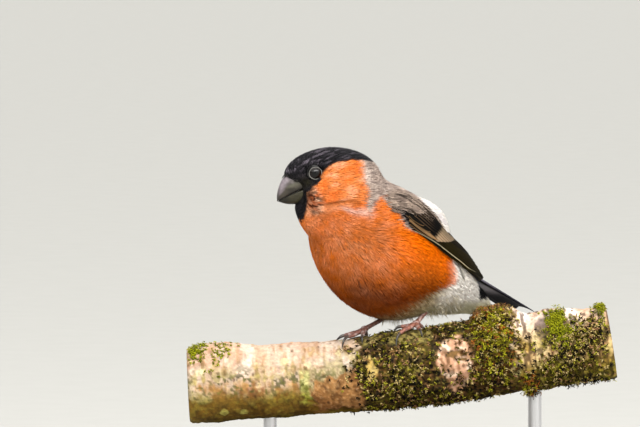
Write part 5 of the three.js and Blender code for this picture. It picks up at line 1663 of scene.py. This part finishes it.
def bark(x, turn):
    """Height of the bark over the bare perch, its colour, and how mossy the place is."""
    t = np.radians(turn)
    p = stacked(x, 14.6 * np.cos(t), 14.6 * np.sin(t))
    round_ = np.array([1.0, 0.25, 0.25])  # long round the branch, short along it
    soft = patchy(p, 11, 101, 3)
    lump = patchy(p, 5, 103, 3)
    fine = patchy(p, 1.7, 105)
    grit = patchy(p, 0.8, 106)
    streak = patchy(p * round_, 1.4, 107)
    wide = patchy(p * round_, 4.5, 108)
    d1, d2, tag = cells(p * [1.0, 0.6, 0.6], 3.0, 109)
    e1, e2, etag = cells(p, 7.5, 111)
    front = (turn + 180) % 360 - 180  # 0 faces the viewer
    half_turn = np.abs(front)

    # pale bark: cream and pinkish, streaked round the branch, greener towards its middle and ochre below
    cream = mix(srgb(206, 176, 146), srgb(236, 214, 194), 0.5 + 0.5 * wide)
    cream = mix(cream, srgb(206, 158, 130), ramp(soft, -0.1, 0.8) * 0.6)
    cream = mix(cream, srgb(150, 110, 74), ramp(streak, 0.25, 0.8) * 0.65)
    cream = mix(cream, srgb(120, 84, 54), ramp(fine, 0.45, 0.9) * ramp(lump, -0.2, 0.5) * 0.6)
    mossy_green = mix(srgb(150, 138, 74), srgb(92, 80, 34), 0.5 + 0.5 * fine)
    girdle = np.exp(-(((front - 2 + 10 * soft) / 30) ** 2))
    cream = mix(cream, mossy_green, ramp(lump + 0.5 * streak + 0.9 * girdle, 0.35, 1.2) * (0.30 + 0.45 * girdle))
    ochre_low = mix(srgb(152, 108, 46), srgb(66, 44, 16), 0.5 + 0.3 * lump + 0.2 * streak)
    ochre_low = mix(ochre_low, srgb(176, 150, 88), ramp(fine + 0.4 * wide, 0.2, 0.9) * 0.5)
    cream = mix(cream, ochre_low, ramp(front + 22 * lump + 8 * streak, 2, -26) * 0.92)
    brown_spot = np.exp(-((((x + 57.5) / 6.5) ** 2 + ((front + 8) / 16) ** 2) ** 2))
    cream = mix(cream, srgb(124, 72, 34), 0.75 * brown_spot * ramp(lump + fine, -0.9, 0.4))
    cream = mix(cream, srgb(104, 90, 18), ramp(front, -56, -76) * 0.6)
    behind = mix(srgb(176, 152, 112), srgb(120, 102, 60), 0.5 + 0.5 * lump)
    cream = mix(cream, behind, ramp(half_turn, 105, 135) * 0.7)

    ochre = mix(srgb(188, 138, 82), srgb(158, 104, 54), 0.5 + 0.3 * soft + 0.2 * fine)
    ochre = mix(ochre, srgb(112, 70, 32), ramp(patchy(p, 2.4, 115, 3), 0.15, 0.8) * 0.7)
    ochre = mix(ochre, srgb(206, 166, 116), ramp(grit, 0.3, 0.9) * 0.35)
    brown = mix(srgb(108, 80, 44), srgb(30, 21, 10), 0.5 + 0.3 * lump + 0.2 * fine)
    brown = mix(brown, srgb(176, 134, 98), ramp(patchy(p, 1.9, 117), 0.25, 0.8) * 0.85)
    brown = mix(brown, srgb(12, 9, 5), ramp(patchy(p, 1.2, 118), 0.15, 0.7) * 0.9)
    green = mix(srgb(130, 124, 34), srgb(30, 28, 8), 0.5 + 0.5 * fine)
    green = mix(green, srgb(206, 194, 116), ramp(patchy(p, 0.9, 119), 0.45, 0.9) * 0.8)
    green = mix(green, srgb(10, 9, 4), ramp(patchy(p, 1.1, 120), 0.25, 0.7) * 0.85)
    white = mix(srgb(246, 232, 222), srgb(192, 160, 134), 0.5 + 0.5 * wide)
    white = mix(white, srgb(84, 64, 50), ramp(streak, 0.15, 0.6) * 0.85) * 0.84

    edge = 1.5 * soft + 1.3 * lump + 0.8 * fine
    ochre_patch = band(x + 1.4 * edge, -33.5, -32, -17, -14.5) * band(front + 8 * soft + 12 * lump, -64, -58, 0, 8)
    dark = band(x + 2.6 * edge + 2.0 * ramp(front, 30, -20), -21, -18, 44, 47)
    pale_patch = ramp(((x - 21.5 + 1.5 * lump) / 6.6) ** 2 + ((front - 8 + 10 * lump) / 44) ** 2, 1.1, 0.8)
    small_patch = ramp(((x + 11) / 2.3) ** 2 + ((front - 10) / 20) ** 2 + 0.4 * fine + 0.3 * lump, 1.1, 0.8)
    far = ramp(x + edge, 44.5, 47)
    shade = ramp(((x - 56.5) / 3.6) ** 2 + ((front - 42) / 24) ** 2 + 0.4 * lump, 1.2, 0.6)

    c = mix(cream, brown, dark)
    c = mix(c, ochre, ochre_patch)
    c = mix(c, white, far)
    pinkish = mix(srgb(212, 172, 144), srgb(146, 102, 72), 0.5 + 0.3 * streak + 0.2 * lump)
    pinkish = mix(pinkish, srgb(236, 214, 192), ramp(patchy(p, 3.0, 135), 0.1, 0.8) * 0.6)
    pinkish = mix(pinkish, srgb(96, 66, 40), ramp(fine + 0.5 * streak, 0.05, 0.7) * 0.75)
    c = mix(c, pinkish, np.clip(pale_patch * ramp(lump + 0.5 * fine, -1.1, -0.3), 0, 1) * dark)
    c = mix(c, mix(srgb(206, 182, 112), srgb(168, 136, 60), 0.5 + 0.5 * fine), small_patch * 0.9)
    c = mix(c, mix(srgb(104, 84, 84), srgb(66, 52, 50), 0.5 + 0.5 * fine), shade * 0.85)
    bare = np.clip(ochre_patch + pale_patch * dark + small_patch, 0, 1)
    # algae below the moss, and lichen
    stain = ramp(patchy(p, 5.0, 113, 3) + 0.5 * fine, -0.5, 0.6)
    c = mix(c, green, np.clip(stain * (0.65 * dark + 0.9 * far * ramp(front, 50, 25) * ramp(x, 50, 56)) * (1 - bare), 0, 1))
    lime = band(x + 1.5 * lump, -39, -37.5, -34.5, -33) * band(front, -45, -35, 12, 20) * ramp(fine, -0.8, 0.0)
    c = mix(c, mix(srgb(206, 200, 136), srgb(104, 108, 40), 0.5 + 0.5 * patchy(p, 1.1, 131)), 0.85 * lime)
    algae = ramp(patchy(p, 1.2, 133) + 0.5 * wide, 0.15, 0.75) * np.exp(-(((front - 2 + 10 * lump) / 26) ** 2)) * (1 - dark) * (1 - ochre_patch) * (1 - far)
    c = mix(c, mix(srgb(96, 98, 40), srgb(44, 44, 14), 0.5 + 0.5 * grit), 0.85 * algae)
    gold = np.exp(-(((x + 24) / 20) ** 2)) * ramp(front, -56, -70) * ramp(lump, -0.8, 0.2)
    c = mix(c, srgb(158, 136, 24), 0.6 * gold)
    spots = ramp(e1 + 0.6 * fine, 1.9, 1.2) * (etag > 0.62) * (1 - dark) * (1 - ochre_patch)
    c = mix(c, mix(srgb(244, 232, 214), srgb(198, 186, 130), etag), spots * 0.8)
    dots = ramp(d1, 0.75, 0.35) * (tag > 0.66)
    c = mix(c, srgb(84, 56, 34), dots * 0.75 * (1 - 0.5 * far))
    c = c * (1 + (0.14 + 0.30 * dark * (1 - bare) + 0.12 * far) * grit)[..., None]
    c = c * (1 - np.array([0.42, 0.44, 0.55]) * (dark * (1 - bare))[..., None]) * (1 - np.array([0.14, 0.20, 0.42]) * (far * ramp(front, 70, 30))[..., None])
    c = c * (1 - 0.32 * ramp(cream[..., 0], 0.3, 0.7) * (1 - dark) * (1 - far) - 0.30 * ochre_patch)[..., None]
    c = c * (1 - np.array([0.10, 0.14, 0.42]) * (dark * (1 - bare) + far * ramp(front, 50, 20))[..., None] * 0.7)
    # painted shade: the bark darker and yellower on the branch's lower side
    c = c * (1 - np.array([0.44, 0.42, 0.80]) * (ramp(front, 0, -26) * (1 - dark) * (1 - ochre_patch))[..., None])

    rough = (0.30 + 0.55 * dark + 0.25 * far * ramp(front, 50, 20)) * (1 - 0.7 * bare)
    h = rough * (0.60 * lump + 0.34 * fine + 0.25 * soft) + 0.12 * (1 - dark) * (streak + 0.6 * wide) + 0.05 * grit
    h = h + 0.18 * spots - 0.30 * bare * dark - 0.14 * dots + 0.10 * ochre_patch
    moss_here = np.clip(dark * (1 - bare) * ramp(lump + 0.4 * fine, -0.7, 0.3), 0, 1)
    return np.clip(h, -1.2, 1.2), c, moss_here


NX, NT = 380, 208
X, T = np.meshgrid(np.linspace(-PERCH_HALF, PERCH_HALF, NX), np.arange(NT) / NT * 360, indexing="ij")
h, cols, mossy = bark(X, T)
feet_near = np.zeros(X.shape)
toe_moss_shade = np.zeros(X.shape)
base_r = perch_radius(X, T)
surface = perch_point(X, T, base_r)
for name, (foot, heel, toes) in FEET.items():
    for toe, (heading, tip_way, length, claw) in toes.items():
        d, s = to_line(surface, toe_line(foot, heading, length, 0.5))
        feet_near = np.maximum(feet_near, ramp(d, 3.4, 1.8))
        toe_moss_shade = np.maximum(toe_moss_shade, ramp(d, 6.5, 4.0))
# low, speckled moss where the toes hold on, darker there: moss, and painted shade under the feet
speck = mix(srgb(58, 52, 20), srgb(150, 136, 74), 0.5 + 0.5 * patchy(surface, 0.9, 141))
speck = mix(speck, srgb(20, 17, 8), 0.8 * ramp(patchy(surface, 0.8, 143), 0.2, 0.8))
cols = mix(cols, speck, 0.85 * toe_moss_shade * band(X + 1.5 * patchy(surface, 3.0, 145), -15, -12, 14, 20))
h = np.where(h > 0.15, h * (1 - feet_near) + 0.15 * feet_near, h)
end_round = 0.7 * ramp(np.abs(X), PERCH_HALF - 1.2, PERCH_HALF) - 1.5 * np.exp(-(((X - 49) / 7) ** 2 + ((T - 86) / 42) ** 2))
surface = perch_point(X, T, base_r - 0.35 + h - end_round)
# sawn faces: growth rings, a darker heart, and saw marks
verts, face_list, col_list = [surface.reshape(-1, 3)], [], [cols.reshape(-1, 3)]
i, j = np.meshgrid(np.arange(NX - 1), np.arange(NT), indexing="ij")
a, b = i * NT + j, i * NT + (j + 1) % NT
quads = [np.stack([a, b, b + NT, a + NT], -1).reshape(-1, 4)]
tris = []
count = NX * NT
for end in (0, NX - 1):
    x_end = PERCH_HALF * (1 if end else -1)
    rim = surface[end]
    heart = perch_point(np.array([x_end]), np.array([0.0]), np.array([0.0]))[0] + [0, 1.1, 0.8]
    K = 26
    last = end * NT + np.arange(NT)
    for k in range(1, K):
        share = 1 - k / K
        p = heart + (rim - heart) * share
        r_mm = 14 * share
        turn = np.arange(NT) / NT * 360
        q = stacked(r_mm * np.cos(np.radians(turn)), r_mm * np.sin(np.radians(turn)), 0.0)
        ring_tone = np.sin(r_mm * 3.1 + 0.8 * noise(q, 5, 121))
        p = p + np.array([1 if end else -1, 0, 0.0]) * (0.05 * ring_tone + 0.10 * noise(q * [0.3, 3, 1], 1.0, 123) - 0.1)[:, None]
        tone = mix(srgb(214, 182, 134), srgb(168, 124, 78), np.clip(0.5 + 0.45 * ring_tone, 0, 1))
        tone = mix(tone, srgb(126, 84, 52), 0.6 * ramp(r_mm, 3.2, 0.5))
        tone = mix(tone, srgb(96, 66, 42), ramp(share, 0.93, 0.99))
        crackd = ramp(np.abs(((turn - 70) + 180) % 360 - 180) * r_mm / 57.3, 0.35, 0.1) * ramp(r_mm, 1, 4) * ramp(share, 0.99, 0.9)
        tone = mix(tone, srgb(70, 48, 30), crackd * 0.8)
        new = count + np.arange(NT)
        quads.append(np.stack([last, np.roll(last, -1), np.roll(new, -1), new], -1) if end else np.stack([new, np.roll(new, -1), np.roll(last, -1), last], -1))
        verts.append(p)
        col_list.append(tone)
        last = new
        count += NT
    verts.append(heart[None])
    col_list.append(srgb(90, 60, 40)[None])
    tri = np.stack([last, np.roll(last, -1), np.full(NT, count)], -1)
    tris.append(tri if end else tri[:, ::-1])
    count += 1
verts = np.concatenate(verts)
faces = [np.concatenate(quads), np.concatenate(tris)]
make("perch_bark", verts, outward(verts, faces), M_BARK, np.concatenate(col_list), replaces=("perch",))


# ---------------------------------------------------------------- moss: small stars of curved leaves
def moss_leaves(spread, rng):
    """Roots on the perch, and how tall the moss stands there."""
    found = []
    for x0, t0, hx, ht, count, tall in spread:
        x = x0 + hx * rng.normal(0, 0.5, count)
        t = t0 + ht * rng.normal(0, 0.5, count)
        found.append(np.stack([x, t, np.full(count, tall)], -1))
    f = np.concatenate(found)
    return f[(np.abs(f[:, 0]) < PERCH_HALF - 1.0)]


def moss(name, spots, hues, rng, leaves=6, size=(1.2, 2.2), K=3):
    keep = spots
    x, t = keep[:, 0], keep[:, 1]
    r = perch_radius(x, t)
    h, _, _ = bark(x, t)
    root = perch_point(x, t, r - 0.5 + h)
    e = 0.4
    du = perch_point(x, t + 2, perch_radius(x, t + 2)) - perch_point(x, t - 2, perch_radius(x, t - 2))
    dx = perch_point(x + e, t, perch_radius(x + e, t)) - perch_point(x - e, t, perch_radius(x - e, t))
    nrm = unit(np.cross(du, dx))
    mid = perch_point(x, t, 0 * x)
    nrm = nrm * np.sign(((root - mid) * nrm).sum(-1))[:, None]
    # clear of the feet
    free = np.ones(len(root), bool)
    for foot, heel, toes in FEET.values():
        for toe, (heading, tip_way, length, claw) in toes.items():
            line = toe_line(foot, heading, length + claw, 1.0)
            free &= to_line(root, line)[0] > 2.6
    root, nrm, keep = root[free], nrm[free], keep[free]
    n = len(root)
    # each stem leans its own way, up and outward
    lean = unit(nrm + rng.normal(0, 0.45, (n, 3)) + [0, 0, 0.25])
    tall = keep[:, 2] * rng.uniform(0.5, 1.25, n)
    m = leaves
    az_ = rng.uniform(0, 2 * np.pi, (n, m))
    other = unit(np.cross(lean, [0.3, 0.2, 1.0]))
    third = np.cross(lean, other)
    out = other[:, None] * np.cos(az_)[..., None] + third[:, None] * np.sin(az_)[..., None]
    start = root[:, None] + lean[:, None] * (tall[:, None] * rng.uniform(0.05, 0.85, (n, m)))[..., None]
    long = rng.uniform(*size, (n, m)) * (0.6 + 0.4 * np.minimum(tall, 2.5) / 2.5)[:, None]
    pts = []
    p = start
    for k in range(K):
        s = k / (K - 1)
        if k:
            d = unit(out * (0.55 + 0.75 * s) + lean[:, None] * (0.95 - 0.9 * s) + np.array([0, 0, -0.25 * s]))
            p = p + d * (long / (K - 1))[..., None]
        pts.append(p)
    paths = np.stack(pts, 2).reshape(-1, K, 3)
    tt = unit(np.gradient(paths, axis=1))
    normals = np.broadcast_to(lean[:, None, None], (n, m, K, 3)).reshape(-1, K, 3)
    normals = unit(normals - (normals * tt).sum(-1, keepdims=True) * tt + 1e-6)
    half = rng.uniform(0.13, 0.24, n * m)
    verts, faces, per = blades(paths, normals, half, 0.35, PROFILE[K])
    pick = rng.random(n)
    tone = hues(keep, pick)
    tip = np.repeat(tone, m, 0) * rng.uniform(0.55, 1.15, n * m)[:, None] * [1.0, 0.96, 0.80]
    share = np.concatenate([np.repeat(np.linspace(0, 1, K)[:-1], 3), [1.0]])
    cols = (tip[:, None] * (0.35 + 0.75 * share)[None, :, None]).reshape(-1, 3)
    # a root's place on the perch's own unwrap, along it and round it
    place = np.stack([(keep[:, 0] + PERCH_HALF) / (2 * PERCH_HALF), (keep[:, 1] % 360) / 360], -1) * 0.98 + 0.01
    local = np.concatenate([np.tile([[-0.0013, 0], [0.0013, 0], [0, 0.0002]], (K - 1, 1)), [[0, 0]]])
    local[:, 1] += (share - 0.5) * 0.0028
    uv = (np.repeat(place, m, 0)[:, None] + local[None]).reshape(-1, 2)
    print("MOSS", name, len(faces[0]) * 2 + len(faces[1]))
    make(name, verts, faces, M_MOSS, cols, uv=uv)


rng = np.random.default_rng(4242)
YELLOW_GREEN, OLIVE, MOSS_BROWN, RUST = srgb(184, 184, 44), srgb(96, 90, 20), srgb(92, 60, 30), srgb(176, 104, 44)
STRAW, MOSS_SHADOW = srgb(222, 200, 142), srgb(14, 12, 5)


def lump_hues(keep, pick):
    c = mix(OLIVE, MOSS_BROWN, ramp(pick, 0.35, 0.6))
    c = mix(c, YELLOW_GREEN, (pick < 0.20))
    top = ramp(keep[:, 1], 62, 84)
    c = mix(c, mix(MOSS_BROWN, srgb(176, 132, 96), (pick > 0.4) * 1.0), 0.8 * top)
    front = np.exp(-(((keep[:, 0] - 40) / 8) ** 2 + ((keep[:, 1] - 38) / 26) ** 2))
    c = mix(c, mix(YELLOW_GREEN, OLIVE, pick), 0.7 * front)
    # near-black leaves standing for shaded hollows in the moss: painted shadow
    c = mix(c, MOSS_SHADOW, (pick > 0.36) & (pick < 0.54))
    c = mix(c, STRAW, (pick > 0.78) & (pick < 0.88))
    return mix(c, RUST, (pick > 0.92))


def bright_hues(keep, pick):
    return mix(srgb(186, 190, 34), srgb(120, 128, 24), pick)


def dark_hues(keep, pick):
    c = mix(srgb(76, 58, 26), OLIVE, ramp(pick, 0.3, 0.6))
    # near-black leaves standing for shaded hollows in the moss: painted shadow
    c = mix(c, MOSS_SHADOW, (pick < 0.28))
    c = mix(c, srgb(184, 142, 108), (pick > 0.56) & (pick < 0.64))
    c = mix(c, STRAW, (pick > 0.70) & (pick < 0.82))
    return mix(c, srgb(184, 180, 62), (pick > 0.86))


def where_mossy(spots, rng, least=0.25):
    """Keeps the spots where the bark is mossy."""
    _, _, m = bark(spots[:, 0], spots[:, 1])
    return spots[rng.random(len(spots)) < np.clip(m, least, 1)]


moss("moss_lump", moss_leaves([(37.5, 88, 9.0, 40, 420, 1.5), (37, 45, 9.5, 44, 420, 1.7), (36, 5, 9, 40, 260, 1.5), (37, 122, 8, 34, 200, 1.5), (33, 74, 4, 22, 60, 2.2), (48.5, -60, 2.4, 16, 90, 3.6), (48.5, -40, 2.6, 16, 60, 2.2)], rng), lump_hues, rng, 7, (1.0, 2.0), K=4)
moss("moss_bright", moss_leaves([(61.5, 50, 3.8, 24, 200, 2.2), (63, 30, 4, 16, 80, 1.8), (79.0, 80, 2.6, 34, 110, 1.9), (-78, 66, 4.5, 30, 150, 1.1), (-68, 52, 5, 26, 60, 0.8)], rng), bright_hues, rng, 6, (0.9, 1.7))
moss("moss_dark", where_mossy(moss_leaves([(0, 0, 19, 80, 1500, 0.8), (-14, 10, 9, 50, 260, 0.8), (30, -25, 14, 50, 620, 1.0), (16, 62, 22, 30, 380, 0.8), (20, 120, 30, 50, 420, 1.0), (10, -70, 24, 40, 320, 1.0)], rng), rng), dark_hues, rng, 6, (0.8, 1.7))
moss("moss_far", moss_leaves([(68, 8, 15, 40, 520, 1.3), (74, 30, 8, 26, 160, 1.2), (60, -30, 12, 36, 260, 1.4), (70, -60, 14, 30, 140, 1.2)], rng), dark_hues, rng, 6, (0.9, 1.8))


# ---------------------------------------------------------------- stand: two steel rods with collars, over a wooden base
def lathe(profile, at_, sides=72):
    """Closed round piece from (radius, height) points, bottom to top, about a vertical line."""
    prof = np.asarray(profile, float)
    q = np.arange(sides) / sides * 2 * np.pi
    ring = np.stack([prof[:, :1] * np.cos(q), prof[:, :1] * np.sin(q), prof[:, 1:] + 0 * q], -1)
    verts = np.concatenate([ring.reshape(-1, 3), [[0, 0, prof[0, 1]], [0, 0, prof[-1, 1]]]]) + at_
    return verts, outward(verts, tube_faces(len(prof), sides))


mat, tree, shader = material("rod_steel", 0.3, Metallic=1.0)
long_ = node(tree, "Mapping", tree.nodes.new("ShaderNodeTexCoord").outputs["Object"])
long_.inputs["Scale"].default_value = (900.0, 900.0, 40.0)
brushed = noise_node(tree, 1.0, 2.0, vector=long_.outputs[0])
tree.links.new(tinted(tree, (0.60, 0.60, 0.61), remap(tree, brushed.outputs["Fac"], 0.3, 0.7, 0.88, 1.08)), shader.inputs["Base Color"])
tree.links.new(remap(tree, brushed.outputs["Fac"], 0.3, 0.7, 0.24, 0.40), shader.inputs["Roughness"])
bump(tree, shader, brushed.outputs["Fac"], 0.1, 0.00005)
M_ROD = mat

for name, x in (("left", -50.0), ("right", 52.0)):
    top = perch_z(x) - PERCH_R + 5.0
    prof = [(2.6, 3.0), (2.6, 8.05), (4.6, 8.05), (4.75, 8.2), (4.75, 10.3), (4.55, 10.75), (4.2, 10.95), (2.95, 11.0), (2.7, 11.15), (2.6, 11.5)]
    prof += [(2.6, z) for z in np.linspace(12, top - 0.5, 22)] + [(2.35, top - 0.15), (2.0, top)]
    verts, faces = lathe(prof, np.array([x, float(perch_y(x)), 0.0]))
    rod = make("stand_rod_" + name + "_turned", verts, faces, M_ROD, replaces=("stand_rod_" + name,), smooth=True)
    # crisp edges at the collar
    rod.data.set_sharp_from_angle(angle=math.radians(35))


def rounded_plate(length, width, corner, inset, z, n=14):
    x, y, r = length / 2 - inset, width / 2 - inset, corner - inset
    pts = []
    for cx, cy, a0 in ((x - r, -y + r, -90), (x - r, y - r, 0), (-x + r, y - r, 90), (-x + r, -y + r, 180)):
        for a in np.linspace(a0, a0 + 90, n):
            pts.append([cx + r * math.cos(math.radians(a)), cy + r * math.sin(math.radians(a)), z])
    return np.array(pts)


def base_plate():
    high, k = 8.0, 1.6
    rings = []
    for a in np.linspace(0, 90, 8):
        rings.append(rounded_plate(150, 84, 12, k * (1 - math.sin(math.radians(a))), k * (1 - math.cos(math.radians(a)))))
    for z in np.linspace(k + 0.6, high - k - 1.5, 4):
        rings.append(rounded_plate(150, 84, 12, 0, z))
    rings.append(rounded_plate(150, 84, 12, 0, high - k - 0.9))
    rings.append(rounded_plate(150, 84, 12, 0.55, high - k - 0.85))
    for a in np.linspace(0, 90, 8):
        rings.append(rounded_plate(150, 84, 12, 0.6 + k * (1 - math.cos(math.radians(a))), high - k + k * math.sin(math.radians(a))))
    rings.append(rounded_plate(150, 84, 12, 6.0, high))
    rings.append(rounded_plate(150, 84, 12, 11.0, high))
    m = len(rings[0])
    verts = np.concatenate([np.concatenate(rings), [[0, 0, 0], [0, 0, high]]])
    return verts, outward(verts, tube_faces(len(rings), m))


mat, tree, shader = material("base_wood", 0.38, Specular_IOR_Level=0.5, Coat_Weight=0.15, Coat_Roughness=0.2)
obj_at = tree.nodes.new("ShaderNodeTexCoord").outputs["Object"]
stretch = node(tree, "Mapping", obj_at)
stretch.inputs["Scale"].default_value = (0.16, 1.0, 1.0)
warp = noise_node(tree, 60.0, 3.0, vector=stretch.outputs[0])
bent = node(tree, "VectorMath", stretch.outputs[0], tinted(tree, warp.outputs["Color"], 0.035), operation="ADD")
rings_ = tree.nodes.new("ShaderNodeTexWave")
rings_.wave_type, rings_.bands_direction, rings_.wave_profile = "BANDS", "Y", "SAW"
for key, value in (("Scale", 26.0), ("Distortion", 2.2), ("Detail", 3.0), ("Detail Scale", 1.6)):
    rings_.inputs[key].default_value = value
tree.links.new(bent.outputs[0], rings_.inputs["Vector"])
pores_at = node(tree, "Mapping", obj_at)
pores_at.inputs["Scale"].default_value = (180.0, 3200.0, 3200.0)
pores = noise_node(tree, 1.0, 3.0, vector=pores_at.outputs[0])
colours = node(tree, "ValToRGB", rings_.outputs["Fac"])
colours.color_ramp.elements[0].color = (0.030, 0.014, 0.007, 1)
colours.color_ramp.elements[1].color = (0.115, 0.055, 0.026, 1)
mid_stop = colours.color_ramp.elements.new(0.55)
mid_stop.color = (0.070, 0.033, 0.016, 1)
tree.links.new(tinted(tree, colours.outputs["Color"], remap(tree, pores.outputs["Fac"], 0.35, 0.6, 0.6, 1.1)), shader.inputs["Base Color"])
tree.links.new(remap(tree, pores.outputs["Fac"], 0.35, 0.65, 0.5, 0.32), shader.inputs["Roughness"])
bump(tree, shader, pores.outputs["Fac"], 0.25, 0.00006)
M_WOOD = mat
verts, faces = base_plate()
base = make("stand_base_wood", verts, faces, M_WOOD, replaces=("stand_base",))
base.data.set_sharp_from_angle(angle=math.radians(50))


# ---------------------------------------------------------------- floor, light and camera
AIM = np.array([-30.8, 0.0, 103.5]) * 0.001


def look_at(obj, target):
    from mathutils import Vector

    way = Vector(target) - obj.location
    obj.rotation_euler = way.to_track_quat("-Z", "Y").to_euler()


floor_mesh = bpy.data.meshes.new("floor")
F = 45.0
floor_mesh.from_pydata([(-F, -F, 0), (F, -F, 0), (F, F, 0), (-F, F, 0)], [], [(0, 1, 2, 3)])
floor = bpy.data.objects.new("floor", floor_mesh)
bpy.context.scene.collection.objects.link(floor)
mat, tree, shader = material("floor", 0.75, Specular_IOR_Level=0.2)
grain = noise_node(tree, 60.0, 4.0)
tree.links.new(tinted(tree, (0.385, 0.385, 0.37), remap(tree, grain.outputs["Fac"], 0.3, 0.7, 0.985, 1.015)), shader.inputs["Base Color"])
floor_mesh.materials.append(mat)


def sun(name, way, power, angle, colour=(1, 1, 1)):
    """Even light from one side; way points from the bird to the light."""
    light = bpy.data.lights.new(name, "SUN")
    light.energy, light.angle, light.color = power, math.radians(angle), colour
    obj = bpy.data.objects.new(name, light)
    bpy.context.scene.collection.objects.link(obj)
    obj.location = way
    look_at(obj, (0, 0, 0))
    return obj


sun("light_key", (-0.25, -0.80, 1.0), 2.8, 80, (1.0, 0.965, 0.91))
sun("light_top", (0.35, 0.15, 1.0), 1.6, 80, (1.0, 0.98, 0.95))
sun("light_back", (0.9, 0.8, 0.6), 0.8, 60)
sun("light_fill", (0.78, -0.62, 0.16), 1.3, 70, (1.0, 0.97, 0.93))
# a low window, which the eye mirrors
pane = bpy.data.lights.new("light_window", "AREA")
pane.shape, pane.size, pane.size_y, pane.energy, pane.color = "RECTANGLE", 1.7, 0.42, 27.0, (1.0, 0.98, 0.95)
window = bpy.data.objects.new("light_window", pane)
bpy.context.scene.collection.objects.link(window)
window.location = AIM + 1.5 * unit(np.array([0.32, -0.76, 0.58]))
look_at(window, AIM)

world = bpy.data.worlds.new("studio")
world.use_nodes = True
world.node_tree.nodes["Background"].inputs[0].default_value = (0.94, 0.95, 0.93, 1)
world.node_tree.nodes["Background"].inputs[1].default_value = 0.5
bpy.context.scene.world = world

camera = bpy.data.cameras.new("camera")
camera.sensor_width = 36.0
camera.lens = 438.3
camera.clip_start, camera.clip_end = 0.1, 200.0
rig = bpy.data.objects.new("camera", camera)
bpy.context.scene.collection.objects.link(rig)
pitch = math.radians(3.0)
rig.location = AIM + 3.0 * np.array([0, -math.cos(pitch), math.sin(pitch)])
rig.rotation_euler = (math.radians(87.0), 0, 0)
bpy.context.scene.camera = rig
bpy.context.scene.view_settings.view_transform = "Standard"
